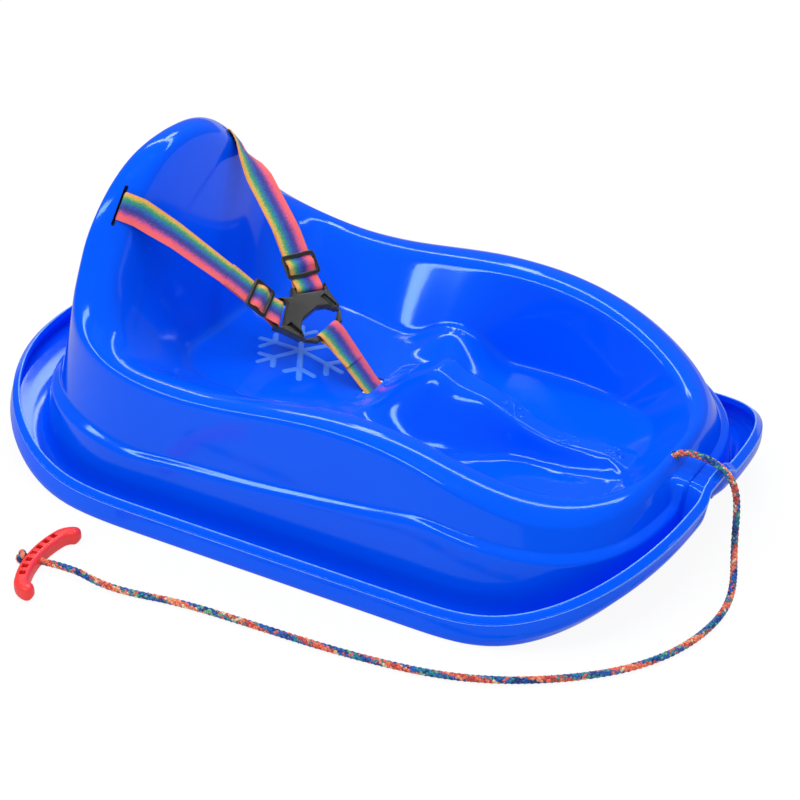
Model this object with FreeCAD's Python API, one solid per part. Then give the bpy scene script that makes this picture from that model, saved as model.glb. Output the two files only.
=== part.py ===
import FreeCAD, Part
import math
import os
from FreeCAD import Vector

# Children's plastic sled. Millimetres. +X is the nose, +Y the rider's left, +Z up.
# The origin is on the snow, below the middle of the tub.

# Tub, overall
sled_length = 790.0
sled_width = 520.0
back_height = 309.0
sheet = 3.2
front = sled_length / 2
half_width = sled_width / 2

# Plan loops of the tub: the foot of the basin
foot_rear = -188.0
foot_rear_flat = 40.0
foot_rear_run = 110.0
foot_half_rear = 105.0
foot_half_front = 140.0
foot_front = 300.0
foot_front_run = 170.0
foot_front_flat = 25.0
# The inner and outer edge of the rounded rim
rim_in_rear = -217.0
rim_in_rear_flat = 120.0
rim_in_rear_run = 110.0
rim_in_half_rear = 172.0
rim_in_half_front = 164.0
rim_in_front = 337.0
rim_in_front_run = 167.0
rim_in_front_flat = 25.0
rim_out_rear = -249.0
rim_out_rear_flat = 140.0
rim_out_rear_run = 139.0
rim_out_half_rear = 208.0
rim_out_half_front = 206.0
rim_out_front = 351.0
rim_out_front_run = 172.0
rim_out_front_flat = 25.0
# The ledge part way down the outer wall
ledge_rear = -318.0
ledge_rear_flat = 40.0
ledge_rear_run = 165.0
ledge_half = 211.0
ledge_front = 359.0
ledge_front_run = 180.0
ledge_front_flat = 45.0
ledge_width = 8.0
ledge_drop = 5.0
# The foot of the outer wall, on the base flange
wall_foot_rear = -338.0
wall_foot_rear_flat = 45.0
wall_foot_rear_run = 180.0
wall_foot_half = 222.0
wall_foot_front = 371.0
wall_foot_front_run = 175.0
wall_foot_front_flat = 45.0
# The lip round the flange
lip_rear_flat = 25.0
lip_rear_run = 245.0
lip_front_run = 180.0
lip_front_flat = 60.0
lip_height = 27.0
lip_flare = 5.0
nose_rise = 55.5
nose_floor_rise = 32.0
nose_rise_start = 245.0
nose_rise_run = 150.0
tail_rise = 49.0
tail_rise_start = -130.0
tail_rise_run = 265.0
nose_step_lean = 24.0
nose_step_drop = 12.0
floor_fillet = 4.0
base_skim = 0.3
corner_reach_share = 1.35
# The lip from its foot to its top, as shares of the nose step's lean and of the flare, of the lip's
# height below its top, and of the nose step's drop
lip_foot_shares = (0.85, 0.1)
lip_ladder_shares = (
    (0.45, 0.25, 0.78, 0.8), (0.38, 0.28, 0.74, 0.2), (0.0, 0.3, 0.72, 0.0),
    (0.0, 0.5, 0.5, 0.0), (0.0, 0.75, 0.25, 0.0), (0.0, 1.0, 0.0, 0.0),
)
# Roundness of the corners of each loop, as the power of its curve
foot_power_shares = (2.3, 2.4)
rim_in_power_shares = (3.0, 2.2)
rim_out_power_shares = (3.0, 2.35)
ledge_power_shares = (2.3, 2.35)
wall_foot_power_shares = (2.3, 2.3)
lip_power_shares = (2.0, 2.25)

# Heights along the tub
rim_seat_height = 136.0
rim_knee_height = 151.0
rim_nose_height = 97.0
rim_outer_drop = 7.0
rim_seat_place = -95.0
rim_knee_place = 75.0
rim_crown = 5.5
arch_drop_in = 83.0
arch_drop_out = 64.0
# Powers of the arch over the back, inner and outer, of the rim's fall to the nose, and the inner arch's end
arch_in_share = 2.2
arch_out_share = 2.6
rim_fall_share = 1.3
arch_end_share = 0.75
ledge_places = (-250.0, -150.0, -90.0, 0.0, 76.0, 121.0, 176.0, 209.0, 252.0, 285.0, 311.0, 345.0)
ledge_heights = (80.0, 64.0, 69.0, 74.0, 82.0, 87.0, 95.0, 90.0, 82.0, 76.0, 71.0, 68.0)
seat_height = 94.0
crotch_height = 76.0
channel_height = 58.0
toe_height = 66.0
seat_end = -100.0
crotch_place = 0.0
channel_place = 95.0
toe_start = 225.0
toe_end = 300.0
spine_start = -60.0
spine_end = 280.0
ridge_places = (14.0, 50.0, 88.0, 113.0, 144.0, 175.0, 205.0, 230.0, 281.0, 300.0)
ridge_tops = (76.0, 108.0, 128.0, 114.0, 108.0, 93.0, 83.0, 80.0, 81.0, 74.0)
ridge_half = 10.0
pommel_run = 70.0
thigh_rise = 26.0
thigh_place = 42.0
thigh_reach = 60.0
thigh_start = 55.0
thigh_run = 60.0
ridge_run = 15.0
ridge_run_start = 90.0
ridge_run_end = 200.0

# Snout block between the rim and the lip, with the rope hole behind it
snout_start = 352.0
snout_top = 88.0
snout_fall = 6.0
snout_half = 23.0
snout_slope = 17.0
rope_hole = 9.6
rope_hole_place = 344.6
rope_hole_lean = 25.0

# Net of the tub: how many steps each stretch of the half loop takes
rear_steps = 8
rear_corner_steps = 10
side_steps = 16
front_corner_steps = 12
front_steps = 8
basin_shares = (0.0, 0.04, 0.075, 0.1, 0.13, 0.17, 0.22, 0.3, 0.4, 0.5, 0.6, 0.7, 0.8, 0.9)
wall_shares = (0.0, 0.1, 0.3, 0.5, 0.7, 0.9)
crest_shares = (0.0, 0.25, 0.5, 0.75)
outer_wall_shares = (0.0, 0.12, 0.35, 0.6, 0.85)
lower_wall_shares = (0.0, 0.3, 0.7)
spine_shares = (0.0, 0.06, 0.2, 0.62, 0.93, 1.0)

# Slots for the webbing
shoulder_slot_length = 44.0
shoulder_slot_width = 5.0
shoulder_slot_x = -232.0
shoulder_slot_y = 100.0
shoulder_slot_drop = 41.0
crotch_slot_length = 35.0
crotch_slot_width = 10.6
crotch_slot_x = 4.5
cutter_reach = 20.0
sewing = 0.01
shoulder_slot_z = back_height - shoulder_slot_drop

# Webbing
webbing_width = 30.0
webbing = 1.4
gap = 0.3
layer = webbing + gap
anchor_rod = 5.0
rod_x = -2.4
land_reaches = (0.0, 1.0, 3.4, 12.0, 20.0)
land_rises = (1.8, 4.0, 4.9, 4.4, 3.0)
rod_drop = 3.0
rod_lift = -1.6
corner_share = 0.71
shoulder_rod_length = 54.0
crotch_rod_length = 45.0
tail_length = 28.0
# Where a shoulder strap bends off the rim, and how far it has turned face on by then, both as shares
bend_share = 0.4
bend_turn_share = 0.6
bend_rise = 2.8
# The crotch strap near the plug's bar: where it starts to turn, and its folded end
fold_start = 8.4
fold_back = 9.8
fold_length = 42.0
fold_drop = 1.9
fold_shift = 1.5

# Sliders
slider_width = 39.0
slider_length = 27.0
slider_thickness = 2.5
slider_bar = 4.0
slider_window = 7.5
slider_window_width = 32.0
slider_to_buckle = 26.0
slider_rise = webbing / 2 + slider_thickness
hump_step = 0.6
hump_lift = 0.1
hump_top_share = 0.6

# Buckle, in its own plane: x runs towards the crotch, y to the rider's left
buckle_x = -92.2
buckle_y = 0.0
buckle_z = 149.8
buckle_thickness = 9.0
wing_offset = 26.4
wing_tilt = 29.6
wing_bar = 4.4
wing_slot = 4.8
wing_slot_length = 33.0
wing_reach = 20.0
hub_top = 4.0
body_tip_x = 37.6
body_tip_y = 33.5
body_window_x = 23.0
body_window_half = 27.0
body_window_end = 22.0
body_window_round = 6.0
body_window_flat = 12.0
cavity_start = 12.0
cavity_height = 5.6
crotch_bar_x = 49.5
crotch_bar_half = 18.5
plug_side = 5.0
plug_height = 5.0
plug_waist_share = 0.6
plug_bar_sink = 1.0
arm_hinge_x = 40.0
arm_hinge_y = 29.5
arm_tip_x = 15.0
arm_tip_y = 31.0
arm_thickness = 4.0
button_length = 14.0
button_depth = 3.0

# Rope and handle
rope_diameter = 8.0
knot_diameter = 15.0
knot_flat_share = 0.35
rope_bend_share = 0.45
handle_x = -170.0
handle_y = -352.5
handle_z = 8.2
handle_turn = 11.0
handle_half_length = 50.0
handle_bow = 7.5
handle_bow_half = 40.0
handle_hook = 25.0
handle_section_wide = 15.0
handle_section_high = 16.0
handle_bore = 9.4
pocket = 6.5
pocket_depth = 4.0
pocket_pitch = 11.0
pockets_per_side = 3

# Directions of the harness, as unit shares of X, Y and Z, for the rider's right side
land_normal_share = (0.561, -0.623, 0.543)
land_slot_share = (0.0, -0.657, -0.754)
right_strap_share = (0.6145, 0.3677, -0.698)
right_width_share = (0.192, -0.951, -0.241)
left_strap_share = (0.6145, -0.3677, -0.698)
left_width_share = (0.470, 0.882, 0.036)
buckle_across_share = (0.109, 0.981, 0.163)
buckle_down_share = (0.878, -0.019, -0.471)

# Route of the rope, from the knot in the rim to the knot behind the handle
rope_route = [
    (339.5, 0, 86.0), (345.5, 0, 99.0), (357.0, 1, 104.0), (373.0, 3, 102.5), (389.0, 4, 97.5),
    (402.0, 6, 86.0), (408.0, 8, 68.0), (410.0, 8, 47.0), (411.0, 6, 27.0), (414.0, -1, 12.5),
    (420.0, -15, 5.5), (429.0, -37, 4.3), (438.0, -66, 4.3), (442.0, -98, 4.3), (438.0, -136, 4.3),
    (425.0, -176, 4.3), (404.0, -211, 4.3), (376.0, -241, 4.3), (342.0, -268, 4.3),
    (302.0, -292, 4.3), (252.0, -311, 4.3), (196.0, -321, 4.3), (138.0, -327, 4.3),
    (78.0, -330, 4.3), (20.0, -333, 4.3), (-23.0, -338, 4.3), (-57.0, -346, 4.3),
    (-93.0, -350.5, 5.6), (-131.0, -344.92, 8.2),
]

left = 1
right = -1


def smooth(share):
    """Ease from 0 to 1 with level ends."""
    t = min(max(share, 0.0), 1.0)
    return t * t * (3 - 2 * t)


def between(a, b, share):
    return a + (b - a) * share


def table(places, values, x):
    """Straight runs between the values at the given places."""
    if x <= places[0]:
        return values[0]
    for i in range(len(places) - 1):
        if x <= places[i + 1]:
            share = (x - places[i]) / (places[i + 1] - places[i])
            return between(values[i], values[i + 1], share)
    return values[-1]


def unit(v):
    v = Vector(v)
    v.normalize()
    return v


# The tub's net

def corner(share, power):
    """A quarter of a superellipse, evenly stepped: forward and sideways shares."""
    a = share ** (power / 2)
    b = (1 - share) ** (power / 2)
    angle = math.pi / 2 * a / (a + b)
    return math.cos(angle) ** (2 / power), math.sin(angle) ** (2 / power)


def loop_point(loop, station):
    """The plan point of a half loop at one station, from the rear to the nose."""
    rear, rear_flat, rear_run, half_rear, nose, nose_run, nose_flat, half_front, powers = loop
    stretch, share = station
    if stretch == 0:
        return rear, rear_flat * share
    if stretch == 1:
        along, across = corner(share, powers[0])
        return rear + rear_run * (1 - along), rear_flat + (half_rear - rear_flat) * across
    if stretch == 2:
        x = between(rear + rear_run, nose - nose_run, share)
        return x, between(half_rear, half_front, smooth(share))
    if stretch == 3:
        along, across = corner(1 - share, powers[1])
        return nose - nose_run * (1 - along), nose_flat + (half_front - nose_flat) * across
    return nose, nose_flat * (1 - share)


foot_loop = (foot_rear, foot_rear_flat, foot_rear_run, foot_half_rear, foot_front,
             foot_front_run, foot_front_flat, foot_half_front, foot_power_shares)
rim_in_loop = (rim_in_rear, rim_in_rear_flat, rim_in_rear_run, rim_in_half_rear, rim_in_front,
               rim_in_front_run, rim_in_front_flat, rim_in_half_front, rim_in_power_shares)
rim_out_loop = (rim_out_rear, rim_out_rear_flat, rim_out_rear_run, rim_out_half_rear, rim_out_front,
                rim_out_front_run, rim_out_front_flat, rim_out_half_front, rim_out_power_shares)
ledge_loop = (ledge_rear, ledge_rear_flat, ledge_rear_run, ledge_half, ledge_front,
              ledge_front_run, ledge_front_flat, ledge_half, ledge_power_shares)
wall_foot_loop = (wall_foot_rear, wall_foot_rear_flat, wall_foot_rear_run, wall_foot_half, wall_foot_front,
                  wall_foot_front_run, wall_foot_front_flat, wall_foot_half, wall_foot_power_shares)


def lip_loop(inset):
    inner = inset + sheet
    return (-front + inner, lip_rear_flat, lip_rear_run, half_width - inner, front - inner,
            lip_front_run, lip_front_flat, half_width - inner, lip_power_shares)


def grown(loop, size):
    rear, rear_flat, rear_run, half_rear, nose, nose_run, nose_flat, half_front, powers = loop
    return (rear - size, rear_flat, rear_run, half_rear + size, nose + size,
            nose_run, nose_flat, half_front + size, powers)


def stations():
    steps = (rear_steps, rear_corner_steps, side_steps, front_corner_steps, front_steps)
    places = []
    for stretch in range(len(steps)):
        for i in range(steps[stretch]):
            places.append((stretch, i / steps[stretch]))
    places.append((len(steps) - 1, 1.0))
    return places


def nose_share(x):
    return max(0.0, (x - nose_rise_start) / nose_rise_run) ** 2


def tail_share(x):
    return max(0.0, (tail_rise_start - x) / tail_rise_run) ** 2


def lip_top(x):
    return lip_height + nose_rise * nose_share(x) + tail_rise * tail_share(x)


def flange_top(x):
    return sheet - base_skim + nose_floor_rise * nose_share(x) + tail_rise * tail_share(x)


def rim_height(x, drop):
    """Height of the rim along the sides, from the seat over the knees to the nose."""
    side = between(rim_seat_height, rim_knee_height,
                   smooth((x - rim_seat_place) / (rim_knee_place - rim_seat_place)))
    ahead = max(0.0, (x - rim_knee_place) / (rim_in_front - rim_knee_place))
    fall = smooth(ahead ** rim_fall_share)
    return side - (rim_knee_height - rim_nose_height + drop) * fall


def rim_in_height(station, x):
    stretch, share = station
    if stretch == 0:
        return back_height - arch_drop_in * share ** arch_in_share
    if stretch == 1:
        low = rim_height(x, 0)
        ease = 1 - smooth(share / arch_end_share)
        return low + (back_height - arch_drop_in - low) * ease
    return rim_height(x, 0)


def rim_out_height(station, x):
    stretch, share = station
    if stretch == 0:
        return back_height - arch_drop_out * share ** arch_out_share
    if stretch == 1:
        low = rim_height(x, rim_outer_drop)
        return low + (back_height - arch_drop_out - low) * (1 - share) ** 2
    return rim_height(x, rim_outer_drop)


def seat_floor(x):
    level = between(seat_height, crotch_height, smooth((x - seat_end) / (crotch_place - seat_end)))
    level = between(level, channel_height, smooth((x - crotch_place) / (channel_place - crotch_place)))
    return between(level, toe_height, smooth((x - toe_start) / (toe_end - toe_start)))


def basin_height(x, y):
    """The basin's floor with the raised thigh rests, the pommel and the ridge along the middle."""
    thigh = 1 - smooth(abs(x - thigh_place) / thigh_reach)
    level = seat_floor(x) + thigh_rise * thigh * smooth((abs(y) - thigh_start) / thigh_run)
    top = table(ridge_places, ridge_tops, x)
    if x < ridge_places[0]:
        return level
    run = between(pommel_run, ridge_run,
                  smooth((x - ridge_run_start) / (ridge_run_end - ridge_run_start)))
    side = 1 - smooth((abs(y) - ridge_half) / run)
    return level + max(0.0, top - level) * side


def snout(point):
    """Raise a point between the rim and the lip to the top of the snout block."""
    along = min(1.0, max(0.0, (point.x - snout_start) / (front - snout_start)))
    top = snout_top - snout_fall * along
    side = 1 - smooth((abs(point.y) - snout_half) / snout_slope)
    ahead = smooth((point.x - rim_out_front + rim_out_front_flat) / rim_out_front_flat)
    return Vector(point.x, point.y, point.z + max(0.0, top - point.z) * side * ahead)


def rail(a, b, shares):
    return [a + (b - a) * share for share in shares]


def net_column(station):
    """The poles of the tub's upper side at one station, from the middle out to the lip."""
    stretch, share = station
    fx, fy = loop_point(foot_loop, station)
    spine = between(spine_start, spine_end, between(spine_shares[stretch], spine_shares[stretch + 1], share))
    poles = []
    for part in basin_shares:
        x = between(spine, fx, part)
        y = between(0, fy, part)
        poles.append(Vector(x, y, basin_height(x, y)))
    foot = Vector(fx, fy, basin_height(fx, fy))
    ix, iy = loop_point(rim_in_loop, station)
    rim_in = Vector(ix, iy, rim_in_height(station, ix))
    poles += rail(foot, rim_in, wall_shares)
    ox, oy = loop_point(rim_out_loop, station)
    rim_out = Vector(ox, oy, rim_out_height(station, ox))
    for part in crest_shares:
        point = rim_in + (rim_out - rim_in) * part
        poles.append(point + Vector(0, 0, rim_crown * 4 * part * (1 - part)))
    lx, ly = loop_point(ledge_loop, station)
    ledge = Vector(lx, ly, table(ledge_places, ledge_heights, lx))
    outside = rail(rim_out, ledge, outer_wall_shares)
    outside.append(ledge)
    sx, sy = loop_point(grown(ledge_loop, ledge_width), station)
    step = Vector(sx, sy, ledge.z - ledge_drop)
    wx, wy = loop_point(wall_foot_loop, station)
    wall_foot = Vector(wx, wy, flange_top(wx))
    outside += rail(step, wall_foot, lower_wall_shares)
    outside.append(wall_foot)
    tx, ty = loop_point(lip_loop(0), station)
    steep = nose_share(tx)
    top = lip_top(tx)
    low = flange_top(tx)
    lean = steep * nose_step_lean
    drop = steep * nose_step_drop
    flare = lip_flare * (1 - steep)
    lean_share, rise_share = lip_foot_shares
    ladder = [(floor_fillet + lean, low), (lean, low + sheet / 4),
              (lean_share * lean + rise_share * flare, between(low, top, rise_share))]
    for lean_share, flare_share, height_share, drop_share in lip_ladder_shares:
        ladder.append((lean_share * lean + flare_share * flare,
                       top - height_share * lip_height - drop_share * drop))
    for inset, z in ladder:
        x, y = loop_point(lip_loop(inset), station)
        outside.append(Vector(x, y, z))
    raised = [snout(point) for point in outside]
    return poles + raised


def under_net(net):
    """The same net moved down through the sheet, square to the surface."""
    last = len(net) - 1
    wide = len(net[0]) - 1
    lip_foot = wide - len(lip_ladder_shares) - 1
    mirror = Vector(1, -1, 1)
    result = []
    for i in range(last + 1):
        column = []
        for j in range(wide + 1):
            point = net[i][j]
            ahead = net[min(i + 1, last)][j]
            behind = net[max(i - 1, 0)][j]
            outer = net[i][min(j + 1, wide)]
            inner = net[i][max(j - 1, 0)]
            if i == 0:
                behind = Vector(ahead.x * mirror.x, ahead.y * mirror.y, ahead.z * mirror.z)
            if i == last:
                ahead = Vector(behind.x * mirror.x, behind.y * mirror.y, behind.z * mirror.z)
            if j == 0:
                inner = Vector(outer.x * mirror.x, outer.y * mirror.y, outer.z * mirror.z)
                if i in (0, last):
                    ahead = net[1][0] if i == 0 else net[last][1]
                    behind = net[0][1] if i == 0 else net[last - 1][0]
                    inner = Vector(0, -1, 0)
                    outer = Vector(0, 1, 0)
                    ahead = Vector(ahead.x, 0, ahead.z)
            normal = (ahead - behind).cross(outer - inner)
            if normal.z < 0 and j < len(basin_shares):
                normal = normal * -1
            if i in (0, last) or j == 0:
                normal.y = 0
            if normal.Length == 0:
                normal = Vector(0, 0, 1)
            normal.normalize()
            reach = corner_reach_share if j == lip_foot else 1
            column.append(point - normal * (sheet * reach))
        result.append(column)
    return result


def knots(count, degree):
    """Even knots of a clamped spline, with how often each one counts."""
    places = list(range(count - degree + 1))
    return places, [degree + 1] + [1] * (count - degree - 1) + [degree + 1]


def spline_face(net, across=3):
    """A surface on a net of poles: cubic along the rows, and of the given degree across them."""
    row_knots, row_mults = knots(len(net), 3)
    column_knots, column_mults = knots(len(net[0]), across)
    surface = Part.BSplineSurface()
    surface.buildFromPolesMultsKnots(net, row_mults, column_mults, row_knots, column_knots,
                                     False, False, 3, across)
    return surface.toShape()


def make_tub():
    net = [net_column(station) for station in stations()]
    under = under_net(net)
    edge = [[upper[-1], lower[-1]] for upper, lower in zip(net, under)]
    half = [spline_face(net), spline_face(under), spline_face(edge, 1)]
    origin = Vector(0, 0, 0)
    side = Vector(0, 1, 0)
    faces = half + [face.mirror(origin, side) for face in half]
    shell = Part.makeCompound(faces)
    shell.sewShape(sewing)
    tub = Part.makeSolid(shell.Shells[0])
    if tub.Volume < 0:
        tub.reverse()
    for side in (left, right):
        tub = tub.cut(shoulder_slot_cutter(side))
    slot = Part.makeBox(crotch_slot_width, crotch_slot_length, 2 * cutter_reach)
    slot.translate(Vector(crotch_slot_x - crotch_slot_width / 2, -crotch_slot_length / 2,
                          crotch_height - cutter_reach))
    tub = tub.cut(slot)
    tub = tub.cut(rope_hole_cutter())
    ground = Part.makeBox(sled_length + sled_width, sled_length + sled_width, cutter_reach)
    ground.translate(Vector(-(sled_length + sled_width) / 2, -(sled_length + sled_width) / 2, -cutter_reach))
    return tub.cut(ground)


def framed(shape, origin, x_axis, y_axis):
    """Move a shape from its own frame to the place with these two axes."""
    x = unit(x_axis)
    z = x.cross(unit(y_axis))
    z.normalize()
    y = z.cross(x)
    matrix = FreeCAD.Matrix(x.x, y.x, z.x, origin.x,
                            x.y, y.y, z.y, origin.y,
                            x.z, y.z, z.z, origin.z,
                            0, 0, 0, 1)
    moved = shape.copy()
    moved.Placement = FreeCAD.Placement(matrix).multiply(shape.Placement)
    return moved


def sided(share, side):
    """A direction given for the rider's right, turned to the given side."""
    return Vector(share[0], -share[1] * side, share[2])


def land_frame(side):
    """Slot centre, inward direction along the land, slot direction and land normal."""
    centre = Vector(shoulder_slot_x, shoulder_slot_y * side, shoulder_slot_z)
    normal = unit(sided(land_normal_share, side))
    slot = unit(sided(land_slot_share, side))
    inward = slot.cross(normal)
    if inward.x < 0:
        inward = inward * -1
    return centre, inward, slot, normal


def shoulder_slot_cutter(side):
    centre, inward, slot, normal = land_frame(side)
    box = Part.makeBox(shoulder_slot_width, shoulder_slot_length, 2 * cutter_reach)
    box.translate(Vector(-shoulder_slot_width / 2, -shoulder_slot_length / 2, -cutter_reach))
    return framed(box, centre, inward, slot)


def rope_hole_cutter():
    lean = math.radians(rope_hole_lean)
    axis = Vector(math.sin(lean), 0, math.cos(lean))
    start = Vector(rope_hole_place, 0, rim_nose_height) - axis * cutter_reach / 2
    return Part.makeCylinder(rope_hole / 2, cutter_reach, start, axis)


# Webbing

def ribbon(path, widths, width, thickness):
    """A band along the path; each point has its own sideways direction."""
    sections = []
    last = len(path) - 1
    for i in range(last + 1):
        before = path[i] - path[max(i - 1, 0)]
        after = path[min(i + 1, last)] - path[i]
        if i == 0:
            before = after
        if i == last:
            after = before
        tangent = unit(before) + unit(after)
        lean = tangent.Length / 2
        tangent.normalize()
        sideways = unit(widths[i])
        up = unit(tangent.cross(sideways))
        sideways = up.cross(tangent)
        rise = up * (thickness / 2 / max(lean, 0.5))
        out = sideways * (width / 2)
        here = path[i]
        sections.append([here - out - rise, here + out - rise, here + out + rise, here - out + rise])
    faces = []
    for i in range(last):
        for k in range(4):
            near = Part.LineSegment(sections[i][k], sections[i][(k + 1) % 4]).toShape()
            far = Part.LineSegment(sections[i + 1][k], sections[i + 1][(k + 1) % 4]).toShape()
            faces.append(Part.makeRuledSurface(near, far))
    for end in (sections[0], sections[-1]):
        faces.append(Part.Face(Part.makePolygon(end + [end[0]])))
    shell = Part.makeCompound(faces)
    shell.sewShape(sewing)
    band = Part.makeSolid(shell.Shells[0])
    if band.Volume < 0:
        band.reverse()
    return band


def arc_points(centre, first, second, radius, start, end, steps):
    """Points on an arc in the plane of two directions; the angles are in degrees."""
    points = []
    for i in range(steps + 1):
        angle = math.radians(between(start, end, i / steps))
        points.append(centre + first * (radius * math.cos(angle)) + second * (radius * math.sin(angle)))
    return points


def buckle_frame():
    down = unit(buckle_down_share)
    across = unit(buckle_across_share)
    across = unit(across - down * across.dot(down))
    face = down.cross(across)
    return Vector(buckle_x, buckle_y, buckle_z), down, across, face


def from_buckle(x, y, z):
    centre, down, across, face = buckle_frame()
    return centre + down * x + across * y + face * z


def wing_frame(side):
    """Centre of a wing bar and the direction of the bar, outwards."""
    down, across = buckle_frame()[1:3]
    tilt = math.radians(wing_tilt)
    bar = across * (side * math.cos(tilt)) + down * math.sin(tilt)
    return from_buckle(0, side * wing_offset, 0), bar


def slider_frame(side):
    """Slider centre on the webbing's middle, then along, sideways and face directions."""
    if side == right:
        along = unit(right_strap_share)
        wide = unit(right_width_share)
    else:
        along = unit(left_strap_share)
        wide = unit(left_width_share)
    wide = unit(wide - along * wide.dot(along))
    face = along.cross(wide) * side
    bar, bar_direction = wing_frame(side)
    centre = bar - along * slider_to_buckle - face * (layer / 2)
    return centre, along, wide, face


def shoulder_strap(side):
    """From the rod under the slot, over the rim, round the wing bar and back over the slider."""
    slot_centre, inward, slot, normal = land_frame(side)
    rod = slot_centre + rod_offset(inward, normal)
    wrap = anchor_rod / 2 + gap + webbing / 2
    path = arc_points(rod, inward, normal, wrap, -200, 0, 10)
    lane = wrap + rod_x
    for reach, rise in zip(land_reaches, land_rises):
        path.append(slot_centre + inward * (lane + reach) + normal * rise)
    widths = [slot] * len(path)
    centre, along, wide, face = slider_frame(side)
    half = slider_length / 2
    rim_point = path[-1]
    top = centre - along * (half + tail_length + 4 * webbing)
    bend = rim_point + (top - rim_point) * bend_share + face * bend_rise
    path += [bend, top, centre - along * half, centre + along * half]
    widths += [slot + (wide - slot) * bend_turn_share, wide, wide, wide]
    bar, bar_direction = wing_frame(side)
    arrive = unit(bar - centre)
    arrive = unit(arrive - bar_direction * arrive.dot(bar_direction))
    out = unit(arrive.cross(bar_direction) * side)
    turn = wing_bar * corner_share + gap + webbing / 2
    path += arc_points(bar, arrive, out, turn, -90, 90, 8)
    widths += [bar_direction] * 9
    low = layer
    high = layer + slider_rise + webbing
    over = slider_bar * hump_top_share
    hump = [(half, low), (half - slider_bar, low), (half - slider_bar - hump_step, low + hump_lift),
            (slider_bar, high - webbing), (over, high), (-over, high),
            (-slider_bar, high - webbing), (slider_bar + hump_step - half, low + hump_lift),
            (slider_bar - half, low), (-half, low), (-half - tail_length, low)]
    for place, height in hump:
        path.append(centre + along * place + face * height)
        widths.append(wide)
    return ribbon(path, widths, webbing_width, webbing)


def rod_offset(inward, normal):
    return inward * rod_x - normal * (sheet + anchor_rod / 2 + rod_drop)


def shoulder_rod(side):
    slot_centre, inward, slot, normal = land_frame(side)
    centre = slot_centre + rod_offset(inward, normal)
    return Part.makeCylinder(anchor_rod / 2, shoulder_rod_length, centre - slot * shoulder_rod_length / 2, slot)


def make_slider(side):
    centre, along, _, face = slider_frame(side)
    plate = Part.makeBox(slider_length, slider_width, slider_thickness)
    plate.translate(Vector(-slider_length / 2, -slider_width / 2, 0))
    corners = [edge for edge in plate.Edges if abs(edge.tangentAt(edge.FirstParameter).z) > 0.9]
    plate = plate.makeFillet(slider_bar, corners)
    for end in (left, right):
        window = Part.makeBox(slider_window, slider_window_width, 3 * slider_thickness)
        middle = end * (slider_bar + slider_window) / 2
        window.translate(Vector(middle - slider_window / 2, -slider_window_width / 2, -slider_thickness))
        plate = plate.cut(window)
    base = centre + face * (layer + webbing / 2 + gap)
    return framed(plate, base, along, face.cross(along))


def prism(points, bottom, height):
    """A solid from an outline in the buckle's plane."""
    corners = [Vector(x, y, bottom) for x, y in points]
    face = Part.Face(Part.makePolygon(corners + [corners[0]]))
    return face.extrude(Vector(0, 0, height))


def place_on_buckle(shape):
    centre, down, across = buckle_frame()[:3]
    return framed(shape, centre, down, across)


def wing_place(side, along, out):
    """A point of a wing: along its bar outwards, and out from the bar towards the hub."""
    tilt = math.radians(wing_tilt)
    x = along * math.sin(tilt) + out * math.cos(tilt)
    y = side * (wing_offset + along * math.cos(tilt) - out * math.sin(tilt))
    return x, y


def make_buckle_body():
    half_bar = wing_bar / 2
    outline = [(-hub_top, 0)]
    for place in ((-wing_reach, -half_bar), (wing_reach, -half_bar), (wing_reach, half_bar + wing_slot)):
        outline.append(wing_place(left, place[0], place[1]))
    outline += [(body_tip_x, body_tip_y), (body_tip_x, body_window_half),
                (body_window_x + body_window_round, body_window_end), (body_window_x, body_window_flat),
                (body_window_x, 0)]
    mirrored = [(x, -y) for x, y in outline[1:-1]]
    mirrored.reverse()
    body = prism(outline + mirrored, -buckle_thickness / 2, buckle_thickness)
    cavity = Part.makeBox(body_tip_x, 3 * body_tip_y, cavity_height)
    cavity.translate(Vector(cavity_start, -1.5 * body_tip_y, -cavity_height / 2))
    body = body.cut(cavity)
    for side in (left, right):
        half = wing_slot_length / 2
        corners = [wing_place(side, -half, half_bar), wing_place(side, half, half_bar),
                   wing_place(side, half, half_bar + wing_slot), wing_place(side, -half, half_bar + wing_slot)]
        body = body.cut(prism(corners, -buckle_thickness, 2 * buckle_thickness))
        tall = buckle_thickness
        end = 1.2 * wing_reach
        corners = [wing_place(side, -end, -2 * wing_bar), wing_place(side, end, -2 * wing_bar),
                   wing_place(side, end, half_bar), wing_place(side, -end, half_bar)]
        body = body.cut(prism(corners, half_bar, tall))
        body = body.cut(prism(corners, -half_bar - tall, tall))
    return place_on_buckle(body)


def make_plug():
    outer = [(arm_hinge_x + gap, arm_hinge_y + plug_side / 2), (crotch_bar_x, crotch_bar_half + plug_side),
             (crotch_bar_x + wing_bar / 2, crotch_bar_half + plug_waist_share * plug_side),
             (crotch_bar_x + wing_bar / 2, crotch_bar_half)]
    inner = [(crotch_bar_x - wing_bar / 2, crotch_bar_half), (crotch_bar_x - wing_bar, crotch_bar_half),
             (arm_hinge_x + gap, arm_hinge_y - plug_side / 2)]
    side_outline = outer + inner
    plug = prism(side_outline, -plug_height / 2, plug_height)
    plug = plug.fuse(prism([(x, -y) for x, y in side_outline], -plug_height / 2, plug_height))
    reach = crotch_bar_half + plug_bar_sink
    bar = Part.makeBox(wing_bar, 2 * reach, wing_bar)
    bar.translate(Vector(crotch_bar_x - wing_bar / 2, -reach, -wing_bar / 2))
    plug = plug.fuse(bar).removeSplitter()
    return place_on_buckle(plug)


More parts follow.
